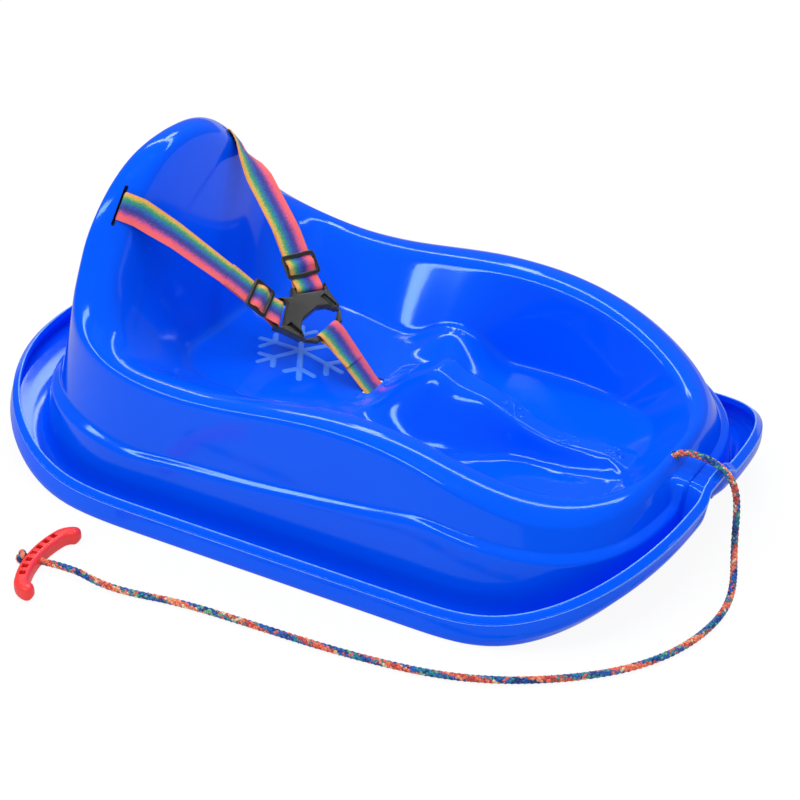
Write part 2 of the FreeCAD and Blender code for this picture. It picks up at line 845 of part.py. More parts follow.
def make_arm(side):
    half = arm_thickness / 2
    outline = [(arm_hinge_x - gap / 2, arm_hinge_y - half), (arm_hinge_x - gap / 2, arm_hinge_y + half),
               (arm_tip_x + button_length, arm_tip_y + half),
               (arm_tip_x + button_length - button_depth, arm_tip_y + half + button_depth),
               (arm_tip_x, arm_tip_y + half + button_depth), (arm_tip_x, arm_tip_y - half)]
    arm = prism([(x, side * y) for x, y in outline], -plug_height / 2, plug_height)
    return place_on_buckle(arm)


def crotch_slot_point():
    return Vector(crotch_slot_x, 0, crotch_height)


def make_crotch_strap():
    """From the rod under the slot, over the plug's bar and back under itself."""
    bar = from_buckle(crotch_bar_x, 0, 0)
    across = buckle_frame()[2]
    slot = crotch_slot_point()
    sideways = Vector(0, 1, 0)
    arrive = unit(bar - slot)
    up = unit(sideways.cross(arrive) * -1)
    if up.z < 0:
        up = up * -1
    wrap = anchor_rod / 2 + gap + webbing / 2
    rod = crotch_rod_centre()
    path = arc_points(rod, up * -1, arrive * -1, wrap, -10, 180, 9)
    path.append(slot + up * rod_lift + arrive * 2 * sheet)
    widths = [sideways] * len(path)
    turn = wing_bar * corner_share + gap + webbing / 2
    path.append(bar - arrive * fold_start + up * turn)
    widths.append(across)
    arrive_bar = unit(arrive - across * arrive.dot(across))
    up_bar = unit(up - across * up.dot(across))
    path += arc_points(bar, arrive_bar, up_bar, turn, 90, -90, 8)
    widths += [across] * 9
    under = up * (turn - fold_drop)
    path += [bar - arrive * fold_back + under, bar - arrive * fold_length + under - sideways * fold_shift]
    widths += [across, sideways]
    return ribbon(path, widths, webbing_width, webbing)


def crotch_rod_centre():
    bar = from_buckle(crotch_bar_x, 0, 0)
    slot = crotch_slot_point()
    arrive = unit(bar - slot)
    up = unit(Vector(-arrive.z, 0, arrive.x))
    if up.z < 0:
        up = up * -1
    wrap = anchor_rod / 2 + gap + webbing / 2
    return slot - arrive * (sheet + anchor_rod + rod_drop) + up * (rod_lift - wrap)


def make_crotch_rod():
    centre = crotch_rod_centre()
    axis = Vector(0, 1, 0)
    return Part.makeCylinder(anchor_rod / 2, crotch_rod_length, centre - axis * crotch_rod_length / 2, axis)


# Rope and handle

def handle_axes():
    turn = math.radians(handle_turn)
    toward_rope = Vector(math.cos(turn), math.sin(turn), 0)
    across = Vector(-math.sin(turn), math.cos(turn), 0)
    return Vector(handle_x, handle_y, handle_z), toward_rope, across


def make_handle():
    h = handle_bow_half
    middle = Part.Arc(Vector(handle_bow, -h, 0), Vector(0, 0, 0), Vector(handle_bow, h, 0))
    edges = [middle.toShape()]
    slope = 2 * math.atan(handle_bow / h)
    side_run = handle_half_length - h
    radius = side_run / (1 - math.sin(slope))
    for side in (left, right):
        start = Vector(handle_bow, side * h, 0)
        centre = start + Vector(math.cos(slope) * radius, -side * math.sin(slope) * radius, 0)
        angle = (math.pi / 2 + slope) / 2
        mid = centre + Vector(-math.sin(math.pi / 2 - angle) * radius, side * math.cos(math.pi / 2 - angle) * radius, 0)
        end = centre + Vector(0, side * radius, 0)
        edges.append(Part.Arc(start, mid, end).toShape())
        tip = Vector(handle_hook, end.y, 0)
        edges.append(Part.LineSegment(end, tip).toShape())
    order = [edges[4], edges[3], edges[0], edges[1], edges[2]]
    path = Part.Wire(Part.__sortEdges__(order))
    tip = Vector(handle_hook, -handle_half_length, 0)
    wide = handle_section_wide / 2
    high = handle_section_high / 2
    section = Part.makePolygon([tip + Vector(0, -wide, -high), tip + Vector(0, wide, -high),
                                tip + Vector(0, wide, high), tip + Vector(0, -wide, high),
                                tip + Vector(0, -wide, -high)])
    handle = path.makePipeShell([section], True, False, 2)
    if handle.Volume < 0:
        handle.reverse()
    bore = Part.makeCylinder(handle_bore / 2, 2 * handle_section_wide,
                             Vector(-handle_section_wide, 0, 0), Vector(1, 0, 0))
    handle = handle.cut(bore)
    bow_radius = (h * h + handle_bow * handle_bow) / (2 * handle_bow)
    for i in range(-pockets_per_side, pockets_per_side + 1):
        angle = i * pocket_pitch / bow_radius
        hole = Part.makeBox(pocket, pocket, pocket_depth)
        hole.translate(Vector(-pocket / 2, -pocket / 2, high - pocket_depth))
        if i == 0:
            hole = Part.makeBox(pocket, pocket, pocket_depth / 2)
            hole.translate(Vector(-pocket / 2, -pocket / 2, high - pocket_depth / 2))
        place = Vector(bow_radius * (1 - math.cos(angle)), bow_radius * math.sin(angle), 0)
        hole.rotate(Vector(0, 0, 0), Vector(0, 0, 1), -math.degrees(angle))
        hole.translate(place)
        handle = handle.cut(hole)
    origin, toward_rope, across = handle_axes()
    return framed(handle, origin, toward_rope, across)


def rope_points():
    origin, toward_rope, across = handle_axes()
    points = [Vector(x, y, z) for x, y, z in rope_route]
    back = handle_section_wide / 2 + gap
    points.append(origin - toward_rope * back)
    return points


def make_rope():
    points = rope_points()
    edges = []
    at = points[0]
    radii = []
    for i in range(1, len(points) - 1):
        before = points[i] - points[i - 1]
        after = points[i + 1] - points[i]
        turn = before.getAngle(after)
        cut = rope_bend_share * min(before.Length, after.Length)
        radii.append(round(cut / math.tan(turn / 2), 1))
        start = points[i] - unit(before) * cut
        end = points[i] + unit(after) * cut
        edges.append(Part.LineSegment(at, start).toShape())
        inward = unit(unit(after) - unit(before))
        radius = cut / math.tan(turn / 2)
        reach = radius / math.cos(turn / 2) - radius
        edges.append(Part.Arc(start, points[i] + inward * reach, end).toShape())
        at = end
    edges.append(Part.LineSegment(at, points[-1]).toShape())
    path = Part.Wire(edges)
    direction = points[1] - points[0]
    circle = Part.Wire(Part.Circle(points[0], direction, rope_diameter / 2).toShape())
    rope = path.makePipeShell([circle], True, True, 2)
    print("rope radii", radii)
    print("rope volume share", round(rope.Volume / (path.Length * math.pi * rope_diameter ** 2 / 4), 4))
    return rope


def make_knot(centre, axis):
    knot = Part.makeSphere(knot_diameter / 2)
    flat = Part.makeBox(knot_diameter, knot_diameter, knot_diameter)
    flat.translate(Vector(-knot_diameter / 2, -knot_diameter / 2, knot_flat_share * knot_diameter))
    knot = knot.cut(flat)
    x = unit(Vector(0, 1, 0).cross(axis))
    return framed(knot, centre, x, axis.cross(x))


def front_knot():
    points = rope_points()
    axis = unit(points[1] - points[0])
    return make_knot(points[0] - axis * knot_flat_share * knot_diameter, axis)


def handle_knot():
    points = rope_points()
    toward_rope = handle_axes()[1]
    return make_knot(points[-1] - toward_rope * knot_flat_share * knot_diameter, toward_rope)


def main():
    os.makedirs("parts", exist_ok=True)
    pieces = {
        "sled_tub": make_tub(),
        "shoulder_strap_left": shoulder_strap(left),
        "shoulder_strap_right": shoulder_strap(right),
        "slider_left": make_slider(left),
        "slider_right": make_slider(right),
        "strap_rod_left": shoulder_rod(left),
        "strap_rod_right": shoulder_rod(right),
        "strap_rod_crotch": make_crotch_rod(),
        "buckle_body": make_buckle_body(),
        "buckle_plug": make_plug(),
        "release_arm_left": make_arm(left),
        "release_arm_right": make_arm(right),
        "crotch_strap": make_crotch_strap(),
        "pull_handle": make_handle(),
        "pull_rope": make_rope(),
        "rope_knot_front": front_knot(),
        "rope_knot_handle": handle_knot(),
    }
    for name, shape in pieces.items():
        box = shape.BoundBox
        print(name, shape.isValid(), len(shape.Solids), round(shape.Volume),
              [round(v, 1) for v in (box.XMin, box.XMax, box.YMin, box.YMax, box.ZMin, box.ZMax)])
        shape.exportStep("parts/" + name + ".step")


main()
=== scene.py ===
import math
import bmesh
import bpy
import numpy as np
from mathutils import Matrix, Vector
from mathutils.bvhtree import BVHTree


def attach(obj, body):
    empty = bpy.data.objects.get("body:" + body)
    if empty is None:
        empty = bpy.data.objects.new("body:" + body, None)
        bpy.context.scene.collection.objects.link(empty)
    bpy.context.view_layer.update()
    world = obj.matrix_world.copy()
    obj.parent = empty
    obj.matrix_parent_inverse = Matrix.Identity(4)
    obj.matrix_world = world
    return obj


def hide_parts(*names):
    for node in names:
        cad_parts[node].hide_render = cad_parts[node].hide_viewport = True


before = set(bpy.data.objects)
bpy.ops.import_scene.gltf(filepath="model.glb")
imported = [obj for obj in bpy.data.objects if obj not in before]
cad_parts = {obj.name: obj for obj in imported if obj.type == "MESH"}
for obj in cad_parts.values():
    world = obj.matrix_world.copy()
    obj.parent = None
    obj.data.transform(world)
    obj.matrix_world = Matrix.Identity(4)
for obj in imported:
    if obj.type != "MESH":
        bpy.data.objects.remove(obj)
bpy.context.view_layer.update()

# All shapes are worked out in millimetres and set down in metres
MM = 0.001
LEFT = 1
RIGHT = -1
both_sides = ((LEFT, "left"), (RIGHT, "right"))
MIRROR = [1, -1, 1]
WHITE = (1, 1, 1, 1)
UP = np.array([0.0, 0.0, 1.0])
FULL_TURN = 2 * math.pi
link = bpy.context.scene.collection.objects.link


def smooth(share):
    """Eases a share from 0 to 1 with level ends."""
    t = np.clip(share, 0.0, 1.0)
    return t * t * (3 - 2 * t)


def between(a, b, share):
    return a + (b - a) * share


def unit(v):
    v = np.asarray(v, float)
    return v / np.maximum(np.linalg.norm(v, axis=-1, keepdims=True), 1e-12)


def square(v, axis):
    """The direction of v, made square to an axis."""
    return unit(v - axis * np.dot(v, axis))


# Camera

camera = bpy.data.objects.new("camera", bpy.data.cameras.new("camera"))
camera.location = (0.9869, -1.6502, 1.2038)
camera.rotation_euler = (math.radians(90 - 30.816), 0, math.radians(29.923))
camera.data.lens = 96.07
camera.data.sensor_width = 36.0
camera.data.clip_end = 50.0
link(camera)
bpy.context.scene.camera = camera


# Meshes

def place(name, points, faces, material, body="sled", nodes=(), slot="tub"):
    """Sets a mesh of points in millimetres down as a piece that rides on a body."""
    mesh = bpy.data.meshes.new(name)
    points = np.reshape(points, (-1, 3)) * MM
    faces = faces if isinstance(faces, list) else faces.tolist()
    mesh.from_pydata(points.tolist(), [], faces, shade_flat=False)
    mesh.validate()
    mesh.materials.append(material)
    piece = bpy.data.objects.new(name, mesh)
    link(piece)
    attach(piece, body)
    if nodes:
        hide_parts(*nodes)
    return piece


def open_mesh(piece, merge):
    """The piece's mesh for editing, with points closer than merge made one."""
    work = bmesh.new()
    work.from_mesh(piece.data)
    bmesh.ops.remove_doubles(work, verts=work.verts, dist=merge)
    return work


def close_mesh(work, piece, crease):
    """Turns the faces outwards, marks edges sharper than the crease angle and writes the mesh back."""
    bmesh.ops.recalc_face_normals(work, faces=work.faces)
    for face in work.faces:
        face.smooth = True
    for edge in work.edges:
        edge.smooth = len(edge.link_faces) != 2 or edge.calc_face_angle(0) < crease
    work.to_mesh(piece.data)
    work.free()


def tidy_mesh(piece, merge=1e-7, crease=3.0):
    close_mesh(open_mesh(piece, merge), piece, crease)


def ring_angles(count):
    """Even angles round a full turn."""
    return np.linspace(0, FULL_TURN, count, endpoint=False)


def grid_faces(rows, columns, start=0, ring=False):
    """Quads of a grid of points; a ring closes each row on itself."""
    i = np.arange(rows - 1)[:, None]
    j = np.arange(columns if ring else columns - 1)[None, :]
    k = (j + 1) % columns
    quads = np.stack([i * columns + j, i * columns + k, (i + 1) * columns + k, (i + 1) * columns + j], -1)
    return quads.reshape(-1, 4) + start


def spread(piece, name, values):
    """Keeps one number per point as an attribute that a material can read."""
    layer = piece.data.attributes.new(name, "FLOAT", "POINT")
    layer.data.foreach_set("value", np.asarray(values, np.float32).ravel())


def lay_uv(piece, u, v):
    """Gives each corner of the faces the place of its point across and along a band."""
    layer = piece.data.uv_layers.new(name="along")
    corner = np.empty(len(piece.data.loops), np.int32)
    piece.data.loops.foreach_get("vertex_index", corner)
    both = np.stack([np.ravel(u)[corner], np.ravel(v)[corner]], 1)
    layer.data.foreach_set("uv", both.astype(np.float32).ravel())

# Materials

def colour(red, green, blue):
    """A colour as it is seen, from 0 to 255, as the linear shares that shaders take."""
    shares = []
    for level in (red / 255, green / 255, blue / 255):
        shares.append(level / 12.92 if level <= 0.04045 else ((level + 0.055) / 1.055) ** 2.4)
    return (*shares, 1.0)


class Nodes:
    """A tree of shader nodes, with short ways to add to it."""

    def __init__(self, tree):
        self.tree = tree

    def join(self, socket, value):
        if isinstance(value, bpy.types.NodeSocket):
            self.tree.links.new(value, socket)
        else:
            socket.default_value = value

    def add(self, kind, sockets, out=0, **settings):
        """Adds a node with its sockets set or joined by name or number, and gives one of its outputs."""
        node = self.tree.nodes.new("ShaderNode" + kind)
        for key, value in settings.items():
            setattr(node, key, value)
        for key, value in sockets.items():
            self.join(node.inputs[key], value)
        return node.outputs[out] if node.outputs else node

    def maths(self, operation, a, b=0.0, c=0.0):
        return self.add("Math", {0: a, 1: b, 2: c}, operation=operation)

    def scaled(self, value, factor, offset=0.0):
        return self.maths("MULTIPLY_ADD", value, factor, offset)

    def mix(self, share, first, second, kind="MIX"):
        return self.add("Mix", {0: share, 6: first, 7: second}, 2, data_type="RGBA", blend_type=kind)

    def noise(self, place, scale, detail, distortion=0.0):
        return self.add("TexNoise", {"Vector": place, "Scale": scale, "Detail": detail,
                                     "Distortion": distortion})

    def speckle(self, first, second):
        """A random number for each pair of whole numbers."""
        cell = self.add("CombineXYZ", {0: first, 1: second})
        return self.add("TexWhiteNoise", {"Vector": cell}, noise_dimensions="2D")

    def where(self):
        return self.add("TexCoord", {}, "Object")

    def attribute(self, name):
        return self.add("Attribute", {}, "Fac", attribute_name=name)

    def across_and_along(self):
        parts = self.add("SeparateXYZ", {0: self.add("UVMap", {}, uv_map="along")})
        return parts, parts.node.outputs[1]

    def ramp(self, share, stops, mode):
        """Colours along a share, from stops of a place and a seen colour."""
        out = self.add("ValToRGB", {0: share})
        bar = out.node.color_ramp
        bar.interpolation = mode
        while len(bar.elements) < len(stops):
            bar.elements.new(0.5)
        for element, (position, shade) in zip(bar.elements, stops):
            element.position = position
            element.color = colour(*shade)
        return out

    def bump(self, height, strength, distance):
        return self.add("Bump", {"Height": height, "Strength": strength, "Distance": distance})

    def surface(self, sockets):
        self.add("OutputMaterial", {0: self.add("BsdfPrincipled", sockets)})


def material(name):
    """An empty material and its nodes."""
    made = bpy.data.materials.new(name)
    made.use_nodes = True
    made.node_tree.nodes.clear()
    return made, Nodes(made.node_tree)


def make_grain():
    """Moulded plastic: fine grain, slow unevenness and faint scuffs, for roughness and bump."""
    tree = bpy.data.node_groups.new("moulded_grain", "ShaderNodeTree")
    for label, way in (("Size", "INPUT"), ("Scuffs", "INPUT"), ("Shade", "OUTPUT"), ("Rough", "OUTPUT"),
                       ("Height", "OUTPUT")):
        tree.interface.new_socket(name=label, in_out=way, socket_type="NodeSocketFloat")
    source, result = tree.nodes.new("NodeGroupInput"), tree.nodes.new("NodeGroupOutput")
    grains = Nodes(tree)
    where = grains.where()
    scaled = grains.add("VectorMath", {0: where, "Scale": source.outputs["Size"]}, operation="SCALE")
    stretched = grains.add("VectorMath", {0: where, 1: (14.0, 160.0, 90.0)}, operation="MULTIPLY")
    fine = grains.noise(scaled, 1.0, 3.0)
    slow = grains.noise(where, 9.0, 2.0)
    thin = grains.maths("GREATER_THAN", grains.noise(stretched, 1.0, 4.0, 0.6), 0.66)
    scuffs = grains.maths("MULTIPLY", thin, source.outputs["Scuffs"])
    rough = grains.maths("ADD", grains.maths("MULTIPLY", slow, 0.5), grains.maths("MULTIPLY", fine, 0.5))
    grains.join(result.inputs["Shade"], slow)
    grains.join(result.inputs["Rough"], grains.maths("ADD", rough, scuffs))
    grains.join(result.inputs["Height"], grains.maths("SUBTRACT", fine, scuffs))
    return tree


grain = make_grain()


def plastic(name, base, shade, rough, rough_spread, size, bump, scuffs, painted_light_and_edge_tone=None, coat=0.0, tint=None):
    """A moulded plastic; where the attribute "edge" is 1 it is mixed, in patches, to a second tone."""
    made, nodes = material(name)
    grains = nodes.add("Group", {"Size": size, "Scuffs": scuffs}, node_tree=grain).node.outputs
    tone = nodes.mix(grains["Shade"], colour(*base), colour(*shade))
    # The second tone: painted highlight lines on the lip's hem, painted shade in the handle's pocket floors,
    # and lighter outlines on the buckle's plates.
    if painted_light_and_edge_tone:
        tone_patches = nodes.scaled(nodes.noise(nodes.where(), 260.0, 3.0), 1.2, 0.1)
        share = nodes.maths("MULTIPLY", nodes.attribute("edge"), tone_patches)
        tone = nodes.mix(nodes.maths("MINIMUM", share, 1.0), tone, colour(*painted_light_and_edge_tone))
    sockets = {"Base Color": tone, "Normal": nodes.bump(grains["Height"], bump, 0.0004),
               "Roughness": nodes.scaled(grains["Rough"], rough_spread, rough)}
    if coat:
        sockets.update({"Coat Weight": coat, "Coat Roughness": 0.04})
    if tint:
        sockets["Specular Tint"] = tint
    nodes.surface(sockets)
    return made


sheet_look = dict(base=(0, 90, 249), shade=(0, 84, 246), rough=0.08, rough_spread=0.06, size=900.0, bump=0.04,
                  scuffs=0.03, coat=0.22, tint=(0.25, 0.65, 1.0, 1.0))
tub_blue = plastic("tub_blue", **sheet_look)
# The lip's pale blue second tone is painted highlight.
lip_blue = plastic("lip_blue", painted_light_and_edge_tone=(150, 205, 255), **sheet_look)
# The seat snowflake's paler blue is painted sheen on its raised lines.
relief_sheen_blue = plastic("relief_sheen_blue", (70, 140, 252), (60, 130, 248), 0.4, 0.2, 1500.0, 0.2, 0.05)
rod_black = plastic("rod_black", (52, 52, 48), (44, 44, 40), 0.4, 0.2, 1500.0, 0.3, 0.1)
buckle_black = plastic("buckle_black", (34, 34, 31), (24, 24, 22), 0.26, 0.16, 1800.0, 0.2, 0.1,
                       painted_light_and_edge_tone=(88, 87, 80), coat=0.25)
# The handle's darker red second tone is painted shade in its pocket floors.
handle_red = plastic("handle_red", (246, 60, 58), (238, 52, 52), 0.26, 0.12, 1400.0, 0.15, 0.08,
                     painted_light_and_edge_tone=(200, 24, 26))

rainbow = ((0.0, (240, 150, 72)), (0.08, (240, 184, 84)), (0.15, (175, 185, 84)), (0.21, (64, 164, 112)),
           (0.32, (30, 134, 140)), (0.4, (34, 96, 186)), (0.5, (40, 62, 160)), (0.59, (64, 50, 140)),
           (0.67, (126, 70, 160)), (0.75, (214, 80, 140)), (0.82, (250, 94, 116)), (1.0, (250, 112, 100)))
warm_yarns = ((0.0, (250, 112, 84)), (0.36, (252, 165, 120)), (0.6, (200, 70, 66)), (0.8, (230, 226, 190)),
              (0.9, (60, 140, 150)))
cool_yarns = ((0.0, (30, 96, 190)), (0.34, (24, 56, 132)), (0.58, (30, 140, 165)), (0.8, (110, 185, 130)),
              (0.92, (235, 110, 90)))


def make_webbing():
    """Rainbow webbing: stripes across the width whose borders are dithered by the weave."""
    made, nodes = material("webbing_rainbow")
    maths = nodes.maths
    across, along = nodes.across_and_along()
    picks = maths("FLOOR", maths("MULTIPLY", along, 900.0))
    ends = maths("FLOOR", maths("MULTIPLY", across, 34.0))
    dither = nodes.speckle(ends, picks)
    stripes = nodes.ramp(maths("ADD", across, nodes.scaled(dither, 0.1, -0.05)), rainbow, "LINEAR")
    warp = maths("SINE", maths("MULTIPLY", across, 34.0 * FULL_TURN))
    shift = maths("MULTIPLY", maths("MODULO", ends, 2.0), math.pi)
    weft = maths("SINE", maths("ADD", maths("MULTIPLY", along, 900.0 * math.pi), shift))
    height = nodes.scaled(maths("MULTIPLY", warp, weft), 0.5, 0.5)
    # The colour is darkened in the weave's low places and lifted a little on its crowns: painted shade and
    # highlight.
    nodes.surface({"Base Color": nodes.mix(1.0, stripes, nodes.scaled(height, 0.35, 0.72), "MULTIPLY"),
                   "Roughness": nodes.scaled(dither, 0.2, 0.62),
                   "Normal": nodes.bump(height, 0.6, 0.0004), "Sheen Weight": 0.2})
    return made


def make_thread():
    """Sewing thread: two violets along the fibre."""
    made, nodes = material("thread")
    fibre = nodes.add("TexWave", {"Vector": nodes.where(), "Scale": 900.0, "Distortion": 2.0}, 1)
    nodes.surface({"Base Color": nodes.mix(fibre, colour(60, 70, 150), colour(120, 110, 190)),
                   "Roughness": nodes.scaled(fibre, 0.2, 0.55)})
    return made


def make_yarn():
    """Braided yarns: two families of colour that swap sides along the rope, with odd bright picks."""
    made, nodes = material("rope_yarn")
    maths = nodes.maths
    around, along = nodes.across_and_along()
    odd = nodes.speckle(maths("FLOOR", maths("MULTIPLY", along, 110.0)), nodes.attribute("yarn"))
    warm, cool = (nodes.ramp(odd, shades, "CONSTANT") for shades in (warm_yarns, cool_yarns))
    side = maths("ADD", nodes.attribute("side"), nodes.scaled(odd, 0.6, -0.3))
    tone = nodes.mix(maths("GREATER_THAN", side, 0.0), cool, warm)
    spin = maths("ADD", maths("MULTIPLY", along, 2600.0), maths("MULTIPLY", around, FULL_TURN))
    fibres = nodes.scaled(maths("SINE", spin), 0.5, 0.5)
    # The colour is darkened in the grooves between the twisted fibres: painted shade.
    nodes.surface({"Base Color": nodes.mix(1.0, tone, nodes.scaled(fibres, 0.4, 0.6), "MULTIPLY"),
                   "Roughness": nodes.scaled(fibres, -0.15, 0.75),
                   "Normal": nodes.bump(fibres, 0.5, 0.0003)})
    return made


webbing_rainbow, thread, rope_yarn = make_webbing(), make_thread(), make_yarn()


# Rope

rope_route = [
    (339.5, 0, 86.0), (345.5, 0, 99.0), (357.0, 1, 104.0), (373.0, 3, 102.5), (389.0, 4, 97.5),
    (402.0, 6, 86.0), (408.0, 8, 68.0), (410.0, 8, 47.0), (411.0, 6, 27.0), (414.0, -1, 12.5),
    (420.0, -15, 5.5), (429.0, -37, 4.3), (438.0, -66, 4.3), (442.0, -98, 4.3), (438.0, -136, 4.3),
    (425.0, -176, 4.3), (404.0, -211, 4.3), (376.0, -241, 4.3), (342.0, -268, 4.3),
    (302.0, -292, 4.3), (252.0, -311, 4.3), (196.0, -321, 4.3), (138.0, -327, 4.3),
    (78.0, -330, 4.3), (20.0, -333, 4.3), (-23.0, -338, 4.3), (-57.0, -346, 4.3),
    (-93.0, -350.5, 5.6), (-131.0, -344.92, 8.2), (-177.66, -353.99, 8.2),
]

line = bpy.data.curves.new("rope_line", "CURVE")
line.dimensions = "3D"
line.resolution_u = 24
spline = line.splines.new("NURBS")
spline.points.add(len(rope_route) - 1)
for knot, (x, y, z) in zip(spline.points, rope_route):
    knot.co = (x * MM, y * MM, z * MM, 1.0)
spline.order_u = 3
spline.use_endpoint_u = True
line_object = bpy.data.objects.new("rope_line", line)
link(line_object)
bpy.context.view_layer.update()
read = bpy.data.meshes.new_from_object(line_object.evaluated_get(bpy.context.evaluated_depsgraph_get()))
rope_path = np.array([vertex.co for vertex in read.vertices], float)
bpy.data.meshes.remove(read)
bpy.data.objects.remove(line_object)


def line_reach(points):
    """How far along a line each of its points is."""
    return np.concatenate([[0], np.cumsum(np.linalg.norm(np.diff(points, axis=0), axis=1))])


def read_line(places, reach, values):
    """The values of a line's points at some places along it."""
    return np.stack([np.interp(places, reach, values[:, k]) for k in range(3)], 1)


def carried_frames(points):
    """Two directions square to a line, carried along it without twist."""
    tangents = unit(np.gradient(points, axis=0))
    normal = unit(np.cross(tangents[0], (0.3, 1.0, 0.2)))
    normals = []
    for tangent in tangents:
        normal = square(normal, tangent)
        normals.append(normal)
    return np.array(normals), np.cross(tangents, normals)


def tube(centre, first, second, wide, high, around):
    """Rings of points round a line: first and second are directions, wide and high half sizes."""
    return (centre[:, None] + first[:, None] * (wide * np.cos(around))[..., None]
            + second[:, None] * (high * np.sin(around))[..., None])


def make_rope():
    """Eight strands, four each way: r = ring + or - lift * cos(4 w s), so that they pass over and under."""
    ring, lift, strand, sides, pitch, swap = 2.2, 0.32, 1.3, 7, 24.0, 74.0
    reach = line_reach(rope_path / MM)
    places = np.linspace(0, reach[-1], int(round(reach[-1] / 1.25)) + 1)
    points = read_line(places, reach, rope_path / MM)
    normals, binormals = carried_frames(points)
    angle = FULL_TURN * places / pitch
    around = ring_angles(sides)
    rows = len(places)
    strands = []
    for way in (1, -1):
        for k in range(4):
            turn_at = way * angle + k * math.pi / 2
            out = normals * np.cos(turn_at)[:, None] + binormals * np.sin(turn_at)[:, None]
            centre = points + out * (ring + way * lift * np.cos(4 * angle))[:, None]
            along = unit(np.gradient(centre, axis=0))
            sideways = unit(np.cross(along, out))
            rings = tube(centre, sideways, np.cross(sideways, along), strand * 1.15, strand * 0.95, around)
            start = len(strands) * rows * sides
            strands.append((rings.reshape(-1, 3), grid_faces(rows, sides, start, ring=True),
                            np.repeat(np.cos(turn_at - FULL_TURN * places / swap), sides),
                            np.full(rows * sides, k + 5.0 * (way + 1)), np.tile(around / FULL_TURN, rows),
                            np.repeat(places * MM, sides)))
    points, faces, side, yarn, u, v = (np.concatenate(parts) for parts in zip(*strands))
    piece = place("rope_strands", points, faces, rope_yarn, nodes=["pull_rope"], slot="rope")
    spread(piece, "side", side)
    spread(piece, "yarn", yarn)
    lay_uv(piece, u, v)
    return piece, places[-1] * MM


rope, rope_length = make_rope()


def make_knot(name, centre, axis, node, size):
    """A tight overhand knot: the trefoil (sin t + 2 sin 2t, cos t - 2 cos 2t, -sin 3t) as a fat tube."""
    steps, sides, thick = 150, 12, 3.1
    t = ring_angles(steps)
    knot = np.stack([np.sin(t) + 2 * np.sin(2 * t), np.cos(t) - 2 * np.cos(2 * t), -1.5 * np.sin(3 * t)], 1)
    knot *= (size - thick) / 3.0
    first = unit(np.cross(axis, (0.1, 0.3, 1.0)))
    second = np.cross(axis, first)
    knot = centre + knot[:, :1] * first + knot[:, 1:2] * second + knot[:, 2:] * axis * 0.8
    along = unit(np.roll(knot, -1, 0) - np.roll(knot, 1, 0))
    out = unit(knot - centre)
    out = unit(out - along * np.sum(out * along, 1)[:, None])
    around = ring_angles(sides)
    fat = thick * (1 + 0.07 * np.cos(3 * around[None, :] + 26 * t[:, None]))
    rings = tube(knot, out, np.cross(along, out), fat, fat, around)
    faces = grid_faces(steps + 1, sides, ring=True)
    piece = place(name, np.concatenate([rings, rings[:1]]), faces, rope_yarn, nodes=[node], slot="rope")
    spread(piece, "side", np.tile(np.cos(around + 0.6), steps + 1) - 0.6)
    spread(piece, "yarn", np.full((steps + 1) * sides, 8.0))
    lay_uv(piece, np.tile(around / FULL_TURN, steps + 1), np.repeat(np.linspace(0, 0.12, steps + 1), sides))
    tidy_mesh(piece, 1e-6)
    return piece


route = np.array(rope_route, float)
front_axis = unit(route[1] - route[0])
rear_axis = unit(route[-1] - route[-2])
knot_front = make_knot("knot_front", route[0] - front_axis * 5.2, front_axis, "rope_knot_front", 7.6)
knot_rear = make_knot("knot_rear", route[-1] + rear_axis * 5.0, rear_axis, "rope_knot_handle", 7.8)


# Handle

handle_centre = np.array([-170.0, -352.5, 8.2])
handle_turn = math.radians(11.0)
handle_half_length, handle_bow, bow_half, handle_hook = 50.0, 7.5, 40.0, 25.0
handle_wide, handle_high = 7.5, 8.0
handle_power, tip_run, tip_power = 3.2, 7.0, 2.4
pocket_half, pocket_deep, pocket_pitch, pocket_draft = 3.1, 3.6, 11.0, 0.35


